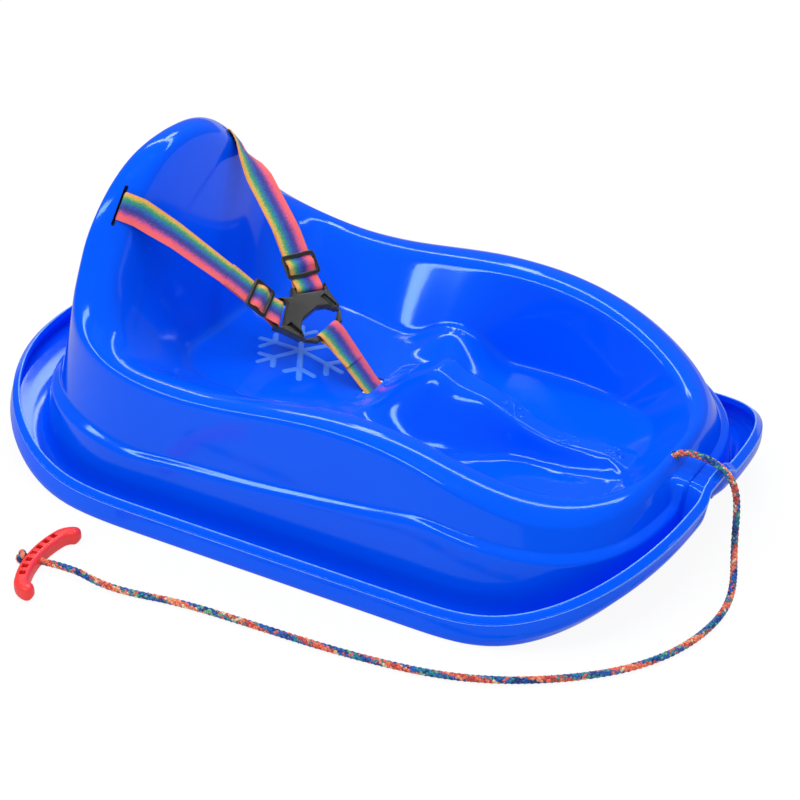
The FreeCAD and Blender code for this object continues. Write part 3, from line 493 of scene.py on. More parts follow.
def make_handle():
    """A superellipse section along a bow with two hooked ends; pockets are pressed into its upper side."""
    bow_radius = (bow_half ** 2 + handle_bow ** 2) / (2 * handle_bow)
    slope = math.asin(bow_half / bow_radius)
    hook_radius = (handle_half_length - bow_half) / (1 - math.sin(slope))
    bow_run, hook_run = bow_radius * slope, hook_radius * (math.pi / 2 - slope)
    total = bow_run + hook_run + (handle_hook - (handle_bow + hook_radius * math.cos(slope)))
    edges = [pocket_pitch * k + side * reach for k in range(4) for side in (-1, 1)
             for reach in (pocket_half - pocket_draft, pocket_half)]
    places = np.unique(np.concatenate([np.linspace(0, total, 90), [e for e in edges if e > 0]]))
    places = np.concatenate([-places[:0:-1], places])
    run, side = np.abs(places), np.sign(places)
    bow_angle = np.minimum(run, bow_run) / bow_radius
    hook_angle = np.clip((run - bow_run) / hook_radius, 0, math.pi / 2 - slope)
    heading = bow_angle + hook_angle
    extra = np.clip(run - bow_run - hook_run, 0, None)
    hooked = hook_angle > 0
    x = (bow_radius * (1 - np.cos(bow_angle)) + extra * np.sin(heading)
         + np.where(hooked, hook_radius * (np.cos(slope) - np.cos(heading)), 0))
    y = (bow_radius * np.sin(bow_angle) + extra * np.cos(heading)
         + np.where(hooked, hook_radius * (np.sin(heading) - np.sin(slope)), 0))
    centre = np.stack([x, y * side], 1)
    out = np.stack([-np.cos(heading), np.sin(heading) * side], 1)
    tip_round = np.sqrt(np.clip(1 - np.clip((run - total + tip_run) / tip_run, 0, 1) ** tip_power, 0, 1))
    tip_round = np.maximum(tip_round, 0.02)[:, None]
    edge_w = np.array([-pocket_half, -pocket_half + pocket_draft, pocket_half - pocket_draft,
                       pocket_half]) / handle_wide
    top_t = np.arccos(np.clip(np.sign(edge_w) * np.abs(edge_w) ** (handle_power / 2), -1, 1))
    t = np.unique(np.round(np.concatenate([ring_angles(48), top_t]), 5))
    wide = np.sign(np.cos(t)) * np.abs(np.cos(t)) ** (2 / handle_power) * handle_wide
    high = np.sign(np.sin(t)) * np.abs(np.sin(t)) ** (2 / handle_power) * handle_high
    nearest = np.abs(run[:, None] - pocket_pitch * np.arange(4)[None, :])
    floor_half = pocket_half - 0.17
    in_run = nearest.min(1) < floor_half
    in_wide = (np.abs(wide) < floor_half) & (high > 0)
    deep = np.where(nearest.argmin(1) == 0, 0.45 * pocket_deep, pocket_deep)
    depth = deep[:, None] * (in_run[:, None] & in_wide[None, :])
    xy = centre[:, None, :] + out[:, None, :] * (wide * tip_round)[:, :, None]
    points = np.concatenate([xy, (high * tip_round - depth)[:, :, None]], 2)
    rows, columns = depth.shape
    flat = np.concatenate([points.reshape(-1, 3), [points[0].mean(0), points[-1].mean(0)]])
    c, s = math.cos(handle_turn), math.sin(handle_turn)
    world = flat @ np.array([(c, s, 0), (-s, c, 0), (0, 0, 1)]) + handle_centre
    last = (rows - 1) * columns
    faces = grid_faces(rows, columns, ring=True).tolist()
    faces += [(rows * columns, (j + 1) % columns, j) for j in range(columns)]
    faces += [(rows * columns + 1, last + j, last + (j + 1) % columns) for j in range(columns)]
    piece = place("grip", world, faces, handle_red, body="handle", nodes=["pull_handle"], slot="handle")
    # Painted shade: the pocket floors are marked for the darker red.
    spread(piece, "edge", np.append(depth > 0, [0, 0]))
    tidy_mesh(piece, 1e-6, math.radians(40))
    return piece


grip = make_handle()


# Tub

front = 395.0
half_width = 260.0
sheet = 3.2
back_height = 309.0
foot_loop = (-188.0, 40.0, 110.0, 105.0, 300.0, 170.0, 25.0, 140.0, (2.3, 2.4))
rim_in_loop = (-217.0, 120.0, 110.0, 172.0, 337.0, 167.0, 25.0, 164.0, (3.0, 2.2))
rim_out_loop = (-249.0, 140.0, 139.0, 208.0, 351.0, 172.0, 25.0, 206.0, (3.0, 2.35))
ledge_loop = (-318.0, 40.0, 165.0, 211.0, 359.0, 180.0, 45.0, 211.0, (2.3, 2.35))
step_loop = (-326.0, 40.0, 165.0, 219.0, 367.0, 180.0, 45.0, 219.0, (2.3, 2.35))
wall_foot_loop = (-338.0, 45.0, 180.0, 222.0, 371.0, 175.0, 45.0, 222.0, (2.3, 2.3))
basin_shares = (0.0, 0.04, 0.075, 0.1, 0.13, 0.17, 0.22, 0.3, 0.4, 0.5, 0.6, 0.7, 0.8, 0.9)
wall_shares = (0.0, 0.1, 0.3, 0.5, 0.7, 0.9)
crest_shares = (0.0, 0.25, 0.5, 0.75)
outer_wall_shares = (0.0, 0.12, 0.35, 0.6, 0.85, 0.96)
lower_wall_shares = (0.0, 0.08, 0.3, 0.7)
spine_shares = (0.0, 0.06, 0.2, 0.62, 0.93, 1.0)
ledge_places = (-250.0, -150.0, -90.0, 0.0, 76.0, 121.0, 176.0, 209.0, 252.0, 285.0, 311.0, 345.0)
ledge_heights = (80.0, 64.0, 69.0, 74.0, 82.0, 87.0, 95.0, 90.0, 82.0, 76.0, 71.0, 68.0)
ridge_places = (14.0, 50.0, 88.0, 113.0, 144.0, 175.0, 205.0, 230.0, 281.0, 300.0)
ridge_tops = (76.0, 108.0, 128.0, 114.0, 108.0, 93.0, 83.0, 80.0, 81.0, 74.0)
net_steps = (8, 10, 16, 12, 8)
base_skim = 0.3
lip_ladder = ((0.45, 0.25, 0.78, 0.8), (0.38, 0.28, 0.74, 0.2), (0.0, 0.3, 0.72, 0.0),
              (0.0, 0.5, 0.5, 0.0), (0.0, 0.75, 0.25, 0.0), (0.0, 1.0, 0.0, 0.0))

hem_section = ((-6.4, -1.0), (-6.4, 5.2), (-6.1, 6.0), (-5.5, 6.3), (-4.9, 6.1), (-4.4, 5.7), (1.4, 0.4),
               (1.75, -0.1), (1.8, -0.8), (1.8, -3.0), (1.2, -3.6), (-1.6, -3.0))
# Share of the pale blue at each point of the hem's section: painted highlight lines along the hem's two
# crests.
hem_painted_highlights = (0.0, 0.0, 0.5, 1.0, 0.6, 0.0, 0.0, 1.0, 0.3, 0.0, 0.0, 0.0)
spine_rear, spine_nose = -60.0, 280.0
crest_bulge, ledge_step = 22.0, 5.0
nose_rise, nose_from, nose_ease = 32.0, 245.0, 150.0
tail_rise, tail_from, tail_ease = 49.0, -225.0, 165.0
lip_high, lip_nose_rise = 21.0, 55.5
lip_lean, lip_drop, lip_flare = 24.0, 12.0, 5.0
bridge_high, bridge_half, bridge_ease = 88.0, 23.0, 17.0
strap_slot = (22.0, 1.9, 1.0)
crotch_slot, crotch_slot_size = np.array([4.5, 0.0, 76.0]), (5.3, 17.5, 2.0)
rope_hole, rope_hole_radius, rope_hole_lean = np.array([344.6, 0, 97.0]), 4.8, math.radians(25.0)


def lip_loop(inset):
    """The lip's own loop, moved inwards by an inset."""
    inner = inset + sheet
    return (6.0 - front + inner, 25.0, 239.0, half_width - inner, front - inner, 180.0, 60.0,
            half_width - inner, (2.22, 2.25))


def loop_point(loop, stretch, share):
    """The plan point of a half loop: flat rear, superellipse corner, side, corner, flat nose."""
    rear, rear_flat, rear_run, half_rear, nose, nose_run, nose_flat, half_front, powers = loop
    if stretch == 0:
        return rear, rear_flat * share
    if stretch == 4:
        return nose, nose_flat * (1 - share)
    if stretch == 2:
        return (between(rear + rear_run, nose - nose_run, share),
                between(half_rear, half_front, smooth(share)))
    power = powers[0] if stretch == 1 else powers[1]
    step = share if stretch == 1 else 1 - share
    a, b = step ** (power / 2), (1 - step) ** (power / 2)
    angle = math.pi / 2 * a / (a + b)
    along, across = math.cos(angle) ** (2 / power), math.sin(angle) ** (2 / power)
    if stretch == 1:
        return rear + rear_run * (1 - along), rear_flat + (half_rear - rear_flat) * across
    return nose - nose_run * (1 - along), nose_flat + (half_front - nose_flat) * across


def nose_share(x):
    """How far the nose has risen at x."""
    return max(0.0, (x - nose_from) / nose_ease) ** 2


def tail_share(x):
    """How far the tail has risen at x."""
    return max(0.0, (tail_from - x) / tail_ease) ** 1.5


def rim_height(x, drop):
    """Height of the rim along the sides and the nose."""
    side = between(136.0, 151.0, smooth((x + 95.0) / 170.0))
    ahead = max(0.0, (x - 75.0) / (337.0 - 75.0))
    return side - (54.0 + drop) * smooth(ahead ** 1.3)


def rim_heights(stretch, share, x, inner):
    """Height of the rim's inner or outer edge: an arch over the back, then low along the sides."""
    drop, power = (83.0, 2.2) if inner else (64.0, 2.6)
    low = rim_height(x, 0 if inner else 7.0)
    if stretch == 0:
        return back_height - drop * share ** power
    if stretch == 1:
        ease = 1 - smooth(share / 0.75) if inner else (1 - share) ** 2
        return low + (back_height - drop - low) * ease
    return low


def basin_height(x, y):
    """Height of the floor: seat, thigh humps and the ridge between the legs."""
    level = between(94.0, 76.0, smooth((x + 100.0) / 100.0))
    level = between(level, 58.0, smooth(x / 95.0))
    level = between(level, 66.0, smooth((x - 225.0) / 75.0))
    thigh = 1 - smooth(abs(x - 42.0) / 60.0)
    level += 26.0 * thigh * smooth((abs(y) - 55.0) / 60.0)
    if x < ridge_places[0]:
        return level
    top = np.interp(x, ridge_places, ridge_tops)
    run = between(70.0, 15.0, smooth((x - 90.0) / 110.0))
    return level + max(0.0, top - level) * (1 - smooth((abs(y) - 10.0) / run))


def net_column(stretch, share):
    """The tub's poles at one station, from the middle of the floor out to the lip."""
    fx, fy = loop_point(foot_loop, stretch, share)
    spine = between(spine_rear, spine_nose, between(spine_shares[stretch], spine_shares[stretch + 1], share))
    poles = []
    for part in basin_shares:
        x, y = between(spine, fx, part), between(0.0, fy, part)
        poles.append((x, y, basin_height(x, y)))
    foot = np.array([fx, fy, basin_height(fx, fy)])
    x, y = loop_point(rim_in_loop, stretch, share)
    rim_in = np.array([x, y, rim_heights(stretch, share, x, True)])
    x, y = loop_point(rim_out_loop, stretch, share)
    rim_out = np.array([x, y, rim_heights(stretch, share, x, False)])
    poles += [between(foot, rim_in, part) for part in wall_shares]
    poles += [between(rim_in, rim_out, part) + UP * (crest_bulge * part * (1 - part))
              for part in crest_shares]
    x, y = loop_point(ledge_loop, stretch, share)
    ledge = np.array([x, y, np.interp(x, ledge_places, ledge_heights)])
    step = np.array([*loop_point(step_loop, stretch, share), ledge[2] - ledge_step])
    x, y = loop_point(wall_foot_loop, stretch, share)
    wall_foot = np.array([x, y, sheet - base_skim + nose_rise * nose_share(x) + tail_rise * tail_share(x)])
    outside = [between(rim_out, ledge, part) for part in outer_wall_shares] + [ledge]
    outside += [between(step, wall_foot, part) for part in lower_wall_shares] + [wall_foot]
    lip_x = loop_point(lip_loop(0), stretch, share)[0]
    steep, tail = nose_share(lip_x), tail_rise * tail_share(lip_x)
    top = lip_high + lip_nose_rise * steep + tail
    low = sheet - base_skim + nose_rise * steep + tail
    lean, drop, flare = lip_lean * steep, lip_drop * steep, lip_flare * (1 - steep)
    ladder = [(4.0 + lean, low), (lean, low + 0.8), (0.85 * lean + 0.1 * flare, between(low, top, 0.1))]
    for lean_part, flare_part, height_part, drop_part in lip_ladder:
        ladder.append((lean_part * lean + flare_part * flare,
                       top - height_part * lip_high - drop_part * drop))
    outside += [np.array([*loop_point(lip_loop(inset), stretch, share), z]) for inset, z in ladder]
    for k, point in enumerate(outside):
        x, y, z = point
        over = max(0.0, bridge_high - 6.0 * np.clip((x - 352.0) / 43.0, 0, 1) - z)
        side = 1 - smooth((abs(y) - bridge_half) / bridge_ease)
        outside[k] = point + UP * (over * side * smooth((x - 326.0) / 25.0))
    return np.array(poles + outside)


def tub_net():
    columns = []
    for stretch, steps in enumerate(net_steps):
        columns += [net_column(stretch, i / steps) for i in range(steps)]
    columns.append(net_column(4, 1.0))
    return np.array(columns)


def under_net(net):
    """The net moved down through the sheet, square to the surface."""
    flip = np.array([1.0, -1.0, 1.0])
    ahead = np.concatenate([net[1:], net[-2:-1] * flip])
    behind = np.concatenate([net[1:2] * flip, net[:-1]])
    outer = np.concatenate([net[:, 1:], net[:, -1:]], 1)
    inner = np.concatenate([net[:, 1:2] * flip, net[:, :-1]], 1)
    normal = np.cross(ahead - behind, outer - inner)
    for row, other, base in ((0, net[1, 0], net[0, 1]), (-1, net[-1, 1], net[-2, 0])):
        reach = other - base
        normal[row, 0] = np.cross((reach[0], 0, reach[2]), (0, 2, 0))
    down = (normal[:, :, 2] < 0) & (np.arange(net.shape[1])[None, :] < len(basin_shares))
    normal[down] *= -1
    normal[[0, -1], :, 1] = 0
    normal[:, 0, 1] = 0
    reach = np.full(net.shape[1], sheet)
    reach[-1 - len(lip_ladder) - 1] *= 1.35
    under = net - unit(normal) * reach[None, :, None]
    under[:, :, 2] = np.maximum(under[:, :, 2], 0.0)
    return under


def basis(count, places):
    """Weights of a clamped cubic B-spline, by the Cox-de Boor steps."""
    knots = np.concatenate([[0.0] * 3, np.arange(count - 2), [count - 3.0] * 3])
    t = np.minimum(places, count - 3 - 1e-9)[:, None]
    weights = ((t >= knots[None, :-1]) & (t < knots[None, 1:])).astype(float)
    for k in (1, 2, 3):
        rise = knots[k:-1] - knots[:-k - 1]
        fall = knots[k + 1:] - knots[1:-k]
        a = np.where(rise > 0, (t - knots[:-k - 1]) / np.where(rise > 0, rise, 1), 0) * weights[:, :-1]
        b = np.where(fall > 0, (knots[k + 1:] - t) / np.where(fall > 0, fall, 1), 0) * weights[:, 1:]
        weights = a + b
    return weights


def spline_grid(net, across, along):
    """Points of the B-spline surface over a net of poles, so many to each of its spans."""
    rows = basis(net.shape[0], np.linspace(0, net.shape[0] - 3, (net.shape[0] - 3) * across + 1))
    columns = basis(net.shape[1], np.linspace(0, net.shape[1] - 3, (net.shape[1] - 3) * along + 1))
    return np.einsum("ai,bj,ijk->abk", rows, columns, net)


def cut_hole(work, centre, axis, outline, reach):
    """Cuts a convex prism through both skins of a mesh and closes the wall between them."""
    axis = Vector(axis).normalized()
    middle = Vector(centre) * MM
    corners = [Vector(point) * MM for point in outline]
    size = max((corner - middle).length for corner in corners)

    def near(face):
        offset = face.calc_center_median() - middle
        along = offset.dot(axis)
        return abs(along) < reach and (offset - axis * along).length < size + 0.02

    planes = []
    for k, corner in enumerate(corners):
        beside = corners[(k + 1) % len(corners)]
        normal = (beside - corner).cross(axis).normalized()
        if normal.dot(middle - corner) > 0:
            normal = -normal
        planes.append((corner, normal))
        faces = [face for face in work.faces if near(face)]
        edges = list(dict.fromkeys(edge for face in faces for edge in face.edges))
        verts = list(dict.fromkeys(vert for face in faces for vert in face.verts))
        bmesh.ops.bisect_plane(work, geom=verts + edges + faces, plane_co=corner, plane_no=normal, dist=1e-6)
    gone = [face for face in work.faces if near(face)
            and all((face.calc_center_median() - corner).dot(normal) < 0 for corner, normal in planes)]
    bmesh.ops.delete(work, geom=gone, context="FACES")
    borders = [edge for edge in work.edges if edge.is_boundary
               and ((edge.verts[0].co + edge.verts[1].co) / 2 - middle).length < size + reach]
    bmesh.ops.bridge_loops(work, edges=borders)


def land_frame(side):
    """Centre of a shoulder slot, the way in along the rim, along the slot, and square to the rim."""
    centre = np.array([-232.0, 100.0 * side, 268.0])
    normal = unit((0.561, 0.623 * side, 0.543))
    slot = unit((0.0, 0.657 * side, -0.754))
    inward = np.cross(slot, normal)
    if inward[0] < 0:
        inward = -inward
    return centre, inward, slot, normal


def octagon(half_a, half_b, cut):
    """A rectangle with its corners cut off."""
    a, b = half_a - cut, half_b - cut
    return ((-half_a, -b), (-a, -half_b), (a, -half_b), (half_a, -b), (half_a, b), (a, half_b), (-a, half_b),
            (-half_a, b))


def with_mirror(grid, faces):
    """Points and faces of one half of the tub together with those of the other half."""
    flat = grid.reshape(-1, 3)
    return np.concatenate([flat, flat * MIRROR]), np.concatenate([faces, faces[:, ::-1] + len(flat)])


def make_tub():
    net = tub_net()
    top = spline_grid(net, 3, 4)
    under = spline_grid(under_net(net), 3, 2)
    rows = len(top)
    edge_mid = (top[:, -1] + under[:, -1]) / 2
    edge_half = (top[:, -1] - under[:, -1]) / 2
    rolled = [(edge_mid + edge_half * math.cos(a) + UP * (1.3 * math.sin(a)))[:, None]
              for a in np.linspace(0, math.pi, 6)[1:-1]]
    outward = unit(edge_half * [-1, -1, 0])
    hem = np.stack([edge_mid + outward * across + UP * rise for across, rise in hem_section], 1)
    hem_piece = place("lip_hem", *with_mirror(hem, grid_faces(rows, len(hem_section), ring=True)), lip_blue,
                      slot="tub")
    # Painted highlight: the hem's crests are marked for the pale blue.
    spread(hem_piece, "edge", np.tile(hem_painted_highlights, 2 * rows))
    tidy_mesh(hem_piece, 2e-5, math.radians(50))
    grid = np.concatenate([top, *rolled, under[:, ::-1]], 1)
    piece = place("tub_shell", *with_mirror(grid, grid_faces(rows, grid.shape[1])), tub_blue,
                  nodes=["sled_tub"], slot="tub")
    work = open_mesh(piece, 2e-5)
    for side in (LEFT, RIGHT):
        centre, inward, slot, normal = land_frame(side)
        corners = [centre + slot * along + inward * out for along, out in octagon(*strap_slot)]
        cut_hole(work, centre, normal, corners, 0.02)
    corners = [crotch_slot + np.array([x, y, 0]) for x, y in octagon(*crotch_slot_size)]
    cut_hole(work, crotch_slot, UP, corners, 0.02)
    c, s = math.cos(rope_hole_lean), math.sin(rope_hole_lean)
    corners = [rope_hole + np.array([c * math.cos(a), math.sin(a), -s * math.cos(a)]) * rope_hole_radius
               for a in ring_angles(14)]
    cut_hole(work, rope_hole, (s, 0, c), corners, 0.012)
    close_mesh(work, piece, math.radians(50))
    return top


tub_top = make_tub()
half_faces = grid_faces(*tub_top.shape[:2])
skin_points = np.concatenate([tub_top.reshape(-1, 3), tub_top.reshape(-1, 3) * MIRROR])
skin_faces = np.concatenate([half_faces, half_faces + len(skin_points) // 2])
skin = BVHTree.FromPolygons(skin_points.tolist(), skin_faces.tolist())


# Relief on the floor

def line_distance(x, y, ax, ay, bx, by):
    """Distance of points to a straight line between two ends."""
    dx, dy = bx - ax, by - ay
    t = np.clip(((x - ax) * dx + (y - ay) * dy) / (dx * dx + dy * dy), 0, 1)
    return np.hypot(x - ax - t * dx, y - ay - t * dy)


def plan_grid(box, step):
    """The x and y of a grid of points over a box in the plan."""
    x0, x1, y0, y1 = box
    return np.meshgrid(np.arange(x0, x1 + step, step), np.arange(y0, y1 + step, step), indexing="ij")


def kept_quads(keep):
    """The points that are used by the quads whose corners are all kept, and those quads."""
    whole = keep[:-1, :-1] & keep[1:, :-1] & keep[1:, 1:] & keep[:-1, 1:]
    used, quads = np.unique(grid_faces(*keep.shape)[whole.ravel()], return_inverse=True)
    return used, quads.reshape(-1, 4)


def flake_lines(cx, reach, branch_at, branch):
    """The arms of a snowflake on the middle line, each with two branches."""
    lines = []
    for k in range(6):
        a = k * math.pi / 3
        c, s = math.cos(a), math.sin(a)
        lines.append((cx, 0, cx + reach * c, reach * s))
        px, py = cx + branch_at * c, branch_at * s
        for b in (a - math.pi / 3, a + math.pi / 3):
            lines.append((px, py, px + branch * math.cos(b), py + branch * math.sin(b)))
    return lines


def relief(name, lines, half, height, soft, step, box, finish):
    """A raised line pattern on the tub: z = floor + height * smooth((half + soft - d) / soft)."""
    sky, sunk = 400.0, 0.12
    gx, gy = plan_grid(box, step)
    far = np.min([line_distance(gx, gy, *ends) for ends in lines], 0)
    lift = height * smooth((half + soft - far) / soft)
    keep = far < half + soft + step
    points = np.zeros(gx.shape + (3,))
    for i, j in np.argwhere(keep):
        spot, normal, _, _ = skin.ray_cast(Vector((gx[i, j], gy[i, j], sky)), Vector((0, 0, -1)))
        keep[i, j] = spot is not None
        if keep[i, j]:
            raised = math.copysign(1, normal.z) * (lift[i, j] - sunk)
            points[i, j] = np.array(spot) + np.array(normal) * raised
    used, quads = kept_quads(keep)
    piece = place(name, points.reshape(-1, 3)[used], quads, finish)
    tidy_mesh(piece)
    if piece.data.polygons[0].normal.z < 0:
        piece.data.flip_normals()


# The seat's snowflake takes the paler blue of painted sheen; the small ones on the ridge take the tub's blue.
relief("flake_seat", flake_lines(-84.0, 50.0, 32.0, 17.0), 2.3, 1.0, 0.9, 0.7, (-140, -28, -58, 58),
       relief_sheen_blue)
for index, (flake_x, size) in enumerate(((170.0, 13.0), (230.0, 13.0), (281.0, 11.0))):
    relief("flake_ridge_" + str(index + 1), flake_lines(flake_x, size, 0.6 * size, 0.35 * size),
           0.5, 0.5, 0.6, 0.4, (flake_x - 16, flake_x + 16, -16, 16), tub_blue)


# Harness

webbing_width, webbing, gap = 30.0, 1.4, 0.3
layer = webbing + gap
anchor_rod = 5.0
rod_wrap = anchor_rod / 2 + gap + webbing / 2
buckle_centre = np.array([-92.2, 0.0, 149.8])
down = unit((0.878, -0.019, -0.471))
buckle_side = square(unit((0.109, 0.981, 0.163)), down)
buckle_face = np.cross(down, buckle_side)
wing_offset, wing_tilt, wing_bar = 26.4, math.radians(29.6), 4.4
wing_cos, wing_sin = math.cos(wing_tilt), math.sin(wing_tilt)
bar_wrap = wing_bar * 0.71 + gap + webbing / 2
crotch_bar_x = 49.5
slider_length, slider_width, slider_thick, slider_bar = 27.0, 39.0, 2.5, 4.0
tail_length = 28.0
band_lanes, band_step = 15, 0.9
sideways = np.array([0.0, 1.0, 0.0])


def from_buckle(x, y, z):
    x, y, z = (np.asarray(v, float)[..., None] for v in (x, y, z))
    return buckle_centre + down * x + buckle_side * y + buckle_face * z


def slider_frame(side):
    """Centre of a slider and its directions: along the strap, across it, and outwards."""
    along = unit((0.6145, -0.3677 * side, -0.698))
    wide = square(unit((0.192, -0.951, -0.241) if side == RIGHT else (0.470, 0.882, 0.036)), along)
    face = np.cross(along, wide) * side
    return from_buckle(0, side * wing_offset, 0) - along * 26.0 - face * (layer / 2), along, wide, face


def arc_points(centre, first, second, radius, start, end, steps):
    """Points on an arc, from start to end in degrees from first towards second."""
    angle = np.radians(np.linspace(start, end, steps + 1))[:, None]
    return list(centre + first * (radius * np.cos(angle)) + second * (radius * np.sin(angle)))


def shoulder_path(side):
    """The strap's middle line and its sideways direction at each point."""
    slot_centre, inward, slot, normal = land_frame(side)
    rod = slot_centre + inward * -2.4 - normal * (sheet + anchor_rod / 2 + 3.0)
    path = arc_points(rod, inward, normal, rod_wrap, -200, 0, 10)
    for reach, rise in ((0.0, 1.8), (1.0, 4.0), (3.4, 4.9), (12.0, 4.4), (20.0, 3.0)):
        path.append(slot_centre + inward * (rod_wrap - 2.4 + reach) + normal * rise)
    widths = [slot] * len(path)
    centre, along, wide, face = slider_frame(side)
    half = slider_length / 2
    top = centre - along * (half + tail_length + 4 * webbing)
    last = path[-1]
    if side == LEFT:
        path.append(between(last, top, 0.2) + face * 2.0 * webbing)
        widths.append(slot * 0.45 + wide * 0.55)
    path += [between(last, top, 0.4) + face * 2 * webbing, top, centre - along * half, centre + along * half]
    widths += [slot * 0.4 + wide * 0.6 if side == RIGHT else wide, wide, wide, wide]
    bar = from_buckle(0, side * wing_offset, 0)
    bar_way = buckle_side * (side * wing_cos) + down * wing_sin
    arrive = square(unit(bar - centre), bar_way)
    path += arc_points(bar, arrive, unit(np.cross(arrive, bar_way) * side), bar_wrap, -90, 90, 8)
    widths += [bar_way] * 9
    low, high = layer, layer + webbing / 2 + slider_thick + webbing
    hump = [(half, low), (half - slider_bar, low), (half - slider_bar - 0.6, low + 0.1),
            (slider_bar, high - webbing), (slider_bar * 0.6, high), (-slider_bar * 0.6, high),
            (-slider_bar, high - webbing), (slider_bar + 0.6 - half, low + 0.1),
            (slider_bar - half, low), (-half, low), (-half - tail_length, low)]
    path += [centre + along * s + face * h for s, h in hump]
    widths += [wide] * len(hump)
    return np.array(path), unit(widths)


def crotch_path():
    """The middle line of the strap from its rod to its sewn end, and its sideways directions."""
    bar = from_buckle(crotch_bar_x, 0, 0)
    arrive = unit(bar - crotch_slot)
    up = unit((-arrive[2], 0, arrive[0]))
    up = up if up[2] > 0 else -up
    facing = unit(np.cross(arrive, sideways))
    facing = facing if facing[2] > 0 else -facing
    rod = crotch_slot - arrive * (sheet + anchor_rod + 3.0) + up * (-1.6 - rod_wrap)
    path = arc_points(rod, -facing, -arrive, rod_wrap, -10, 180, 9)
    path.append(crotch_slot + facing * -1.6 + arrive * 2 * sheet)
    widths = [sideways] * len(path) + [buckle_side] * 11 + [sideways]
    path.append(bar - arrive * 8.4 + facing * bar_wrap)
    path += arc_points(bar, square(arrive, buckle_side), square(facing, buckle_side), bar_wrap, 90, -90, 8)
    under = bar + facing * (bar_wrap - 1.9)
    path += [under - arrive * 9.8, under - arrive * 42.0 - sideways * 1.5]
    return np.array(path), unit(widths)


def make_band(name, path, widths, body, node):
    """A woven band with rounded selvedges, swept along even steps of the path, softened a little."""
    reach = line_reach(path)
    places = np.linspace(0, reach[-1], int(reach[-1] / band_step) + 1)
    points = read_line(places, reach, path)
    ways = unit(read_line(places, reach, widths))
    for _ in range(3):
        points[1:-1] = (points[:-2] + 2 * points[1:-1] + points[2:]) / 4
        ways[1:-1] = unit(ways[:-2] + 2 * ways[1:-1] + ways[2:])
    tangents = unit(np.gradient(points, axis=0))
    ups = unit(np.cross(tangents, ways))
    ways = np.cross(ups, tangents)
    across = np.concatenate([np.linspace(-1, 1, band_lanes), np.linspace(1, -1, band_lanes)])
    last = len(across) - 1
    rise = np.repeat([1.0, -1.0], band_lanes)
    rise[[0, band_lanes - 1, band_lanes, last]] *= 0.35
    w = across * np.where(np.abs(across) > 0.99, 1.0, 0.985) * webbing_width / 2
    h = rise * webbing / 2
    grid = points[:, None] + ways[:, None] * w[None, :, None] + ups[:, None] * h[None, :, None]
    rows, columns = grid.shape[:2]
    base = (rows - 1) * columns
    faces = grid_faces(rows, columns, ring=True).tolist()
    for k in range(band_lanes - 1):
        near_end = (k, k + 1, last - k - 1, last - k)
        faces += [near_end, (base + k, base + last - k, base + last - k - 1, base + k + 1)]
    piece = place(name, grid, faces, webbing_rainbow, body=body, nodes=[node], slot="webbing")
    lay_uv(piece, np.tile((across + 1) / 2, rows), np.repeat(places * MM, columns))
    tidy_mesh(piece, crease=math.radians(60))
    return points, ways, ups, places


bands = {label: make_band("strap_" + label, *shoulder_path(side), "sled", "shoulder_strap_" + label)
         for side, label in both_sides}
make_band("strap_crotch", *crotch_path(), "plug", "crotch_strap")


# Plates of the buckle and the sliders

def polygon_distance(x, y, corners):
    """Signed distance to a polygon, negative inside."""
    best = np.full(x.shape, 1e9)
    inside = np.zeros(x.shape, bool)
    for (ax, ay), (bx, by) in zip(corners, [*corners[1:], corners[0]]):
        best = np.minimum(best, line_distance(x, y, ax, ay, bx, by))
        reach = ax + (y - ay) / (by - ay or 1e-9) * (bx - ax)
        inside ^= ((ay > y) != (by > y)) & (x < reach)
    return np.where(inside, -best, best)


def box_distance(x, y, cx, cy, half_x, half_y, corner):
    """Signed distance to a rectangle with round corners, negative inside."""
    dx = np.abs(x - cx) - half_x + corner
    dy = np.abs(y - cy) - half_y + corner
    return np.hypot(np.maximum(dx, 0), np.maximum(dy, 0)) + np.minimum(np.maximum(dx, dy), 0) - corner


def make_plate(name, box, step, distance, profile, frame_of, node, body="sled"):
    """A plate from a signed distance d: points near d = 0 are moved onto the outline,
    and the faces rise as profile(x, y, d) gives, below and above the plate's plane."""
    gx, gy = plan_grid(box, step)
    for _ in range(3):
        d = distance(gx, gy)
        slope_x = (distance(gx + 0.05, gy) - distance(gx - 0.05, gy)) / 0.1
        slope_y = (distance(gx, gy + 0.05) - distance(gx, gy - 0.05)) / 0.1
        near = np.abs(d) < step * 0.62
        gx = np.where(near, gx - d * slope_x, gx)
        gy = np.where(near, gy - d * slope_y, gy)
    d = distance(gx, gy)
    low, high = profile(gx, gy, np.maximum(-d, 0))
    used, quads = kept_quads(d < step * 0.12)
    x, y, low, high, d = (values.ravel()[used] for values in (gx, gy, low, high, d))
    count = len(used)
    sides = np.concatenate([quads[:, [0, 1]], quads[:, [1, 2]], quads[:, [2, 3]], quads[:, [3, 0]]])
    keys = sides.min(1) * count + sides.max(1)
    _, first, times = np.unique(keys, return_index=True, return_counts=True)
    a, b = sides[first[times == 1]].T
    faces = np.concatenate([quads, quads[:, ::-1] + count, np.stack([b, a, a + count, b + count], 1)])
    points = np.concatenate([frame_of(x, y, high), frame_of(x, y, low)])
    piece = place(name, points, faces, buckle_black, body=body, nodes=[node], slot="buckle")
    spread(piece, "edge", np.tile(np.exp(-np.maximum(-d, 0) / 0.55), 2))
    tidy_mesh(piece, crease=math.radians(35))


def rounded(d, radius, half):
    """Half thickness near an edge: a quarter circle of the radius, then flat."""
    t = np.clip(d / radius, 0, 1)
    return half - radius + radius * np.sqrt(np.clip(1 - (1 - t) ** 2, 0, 1))


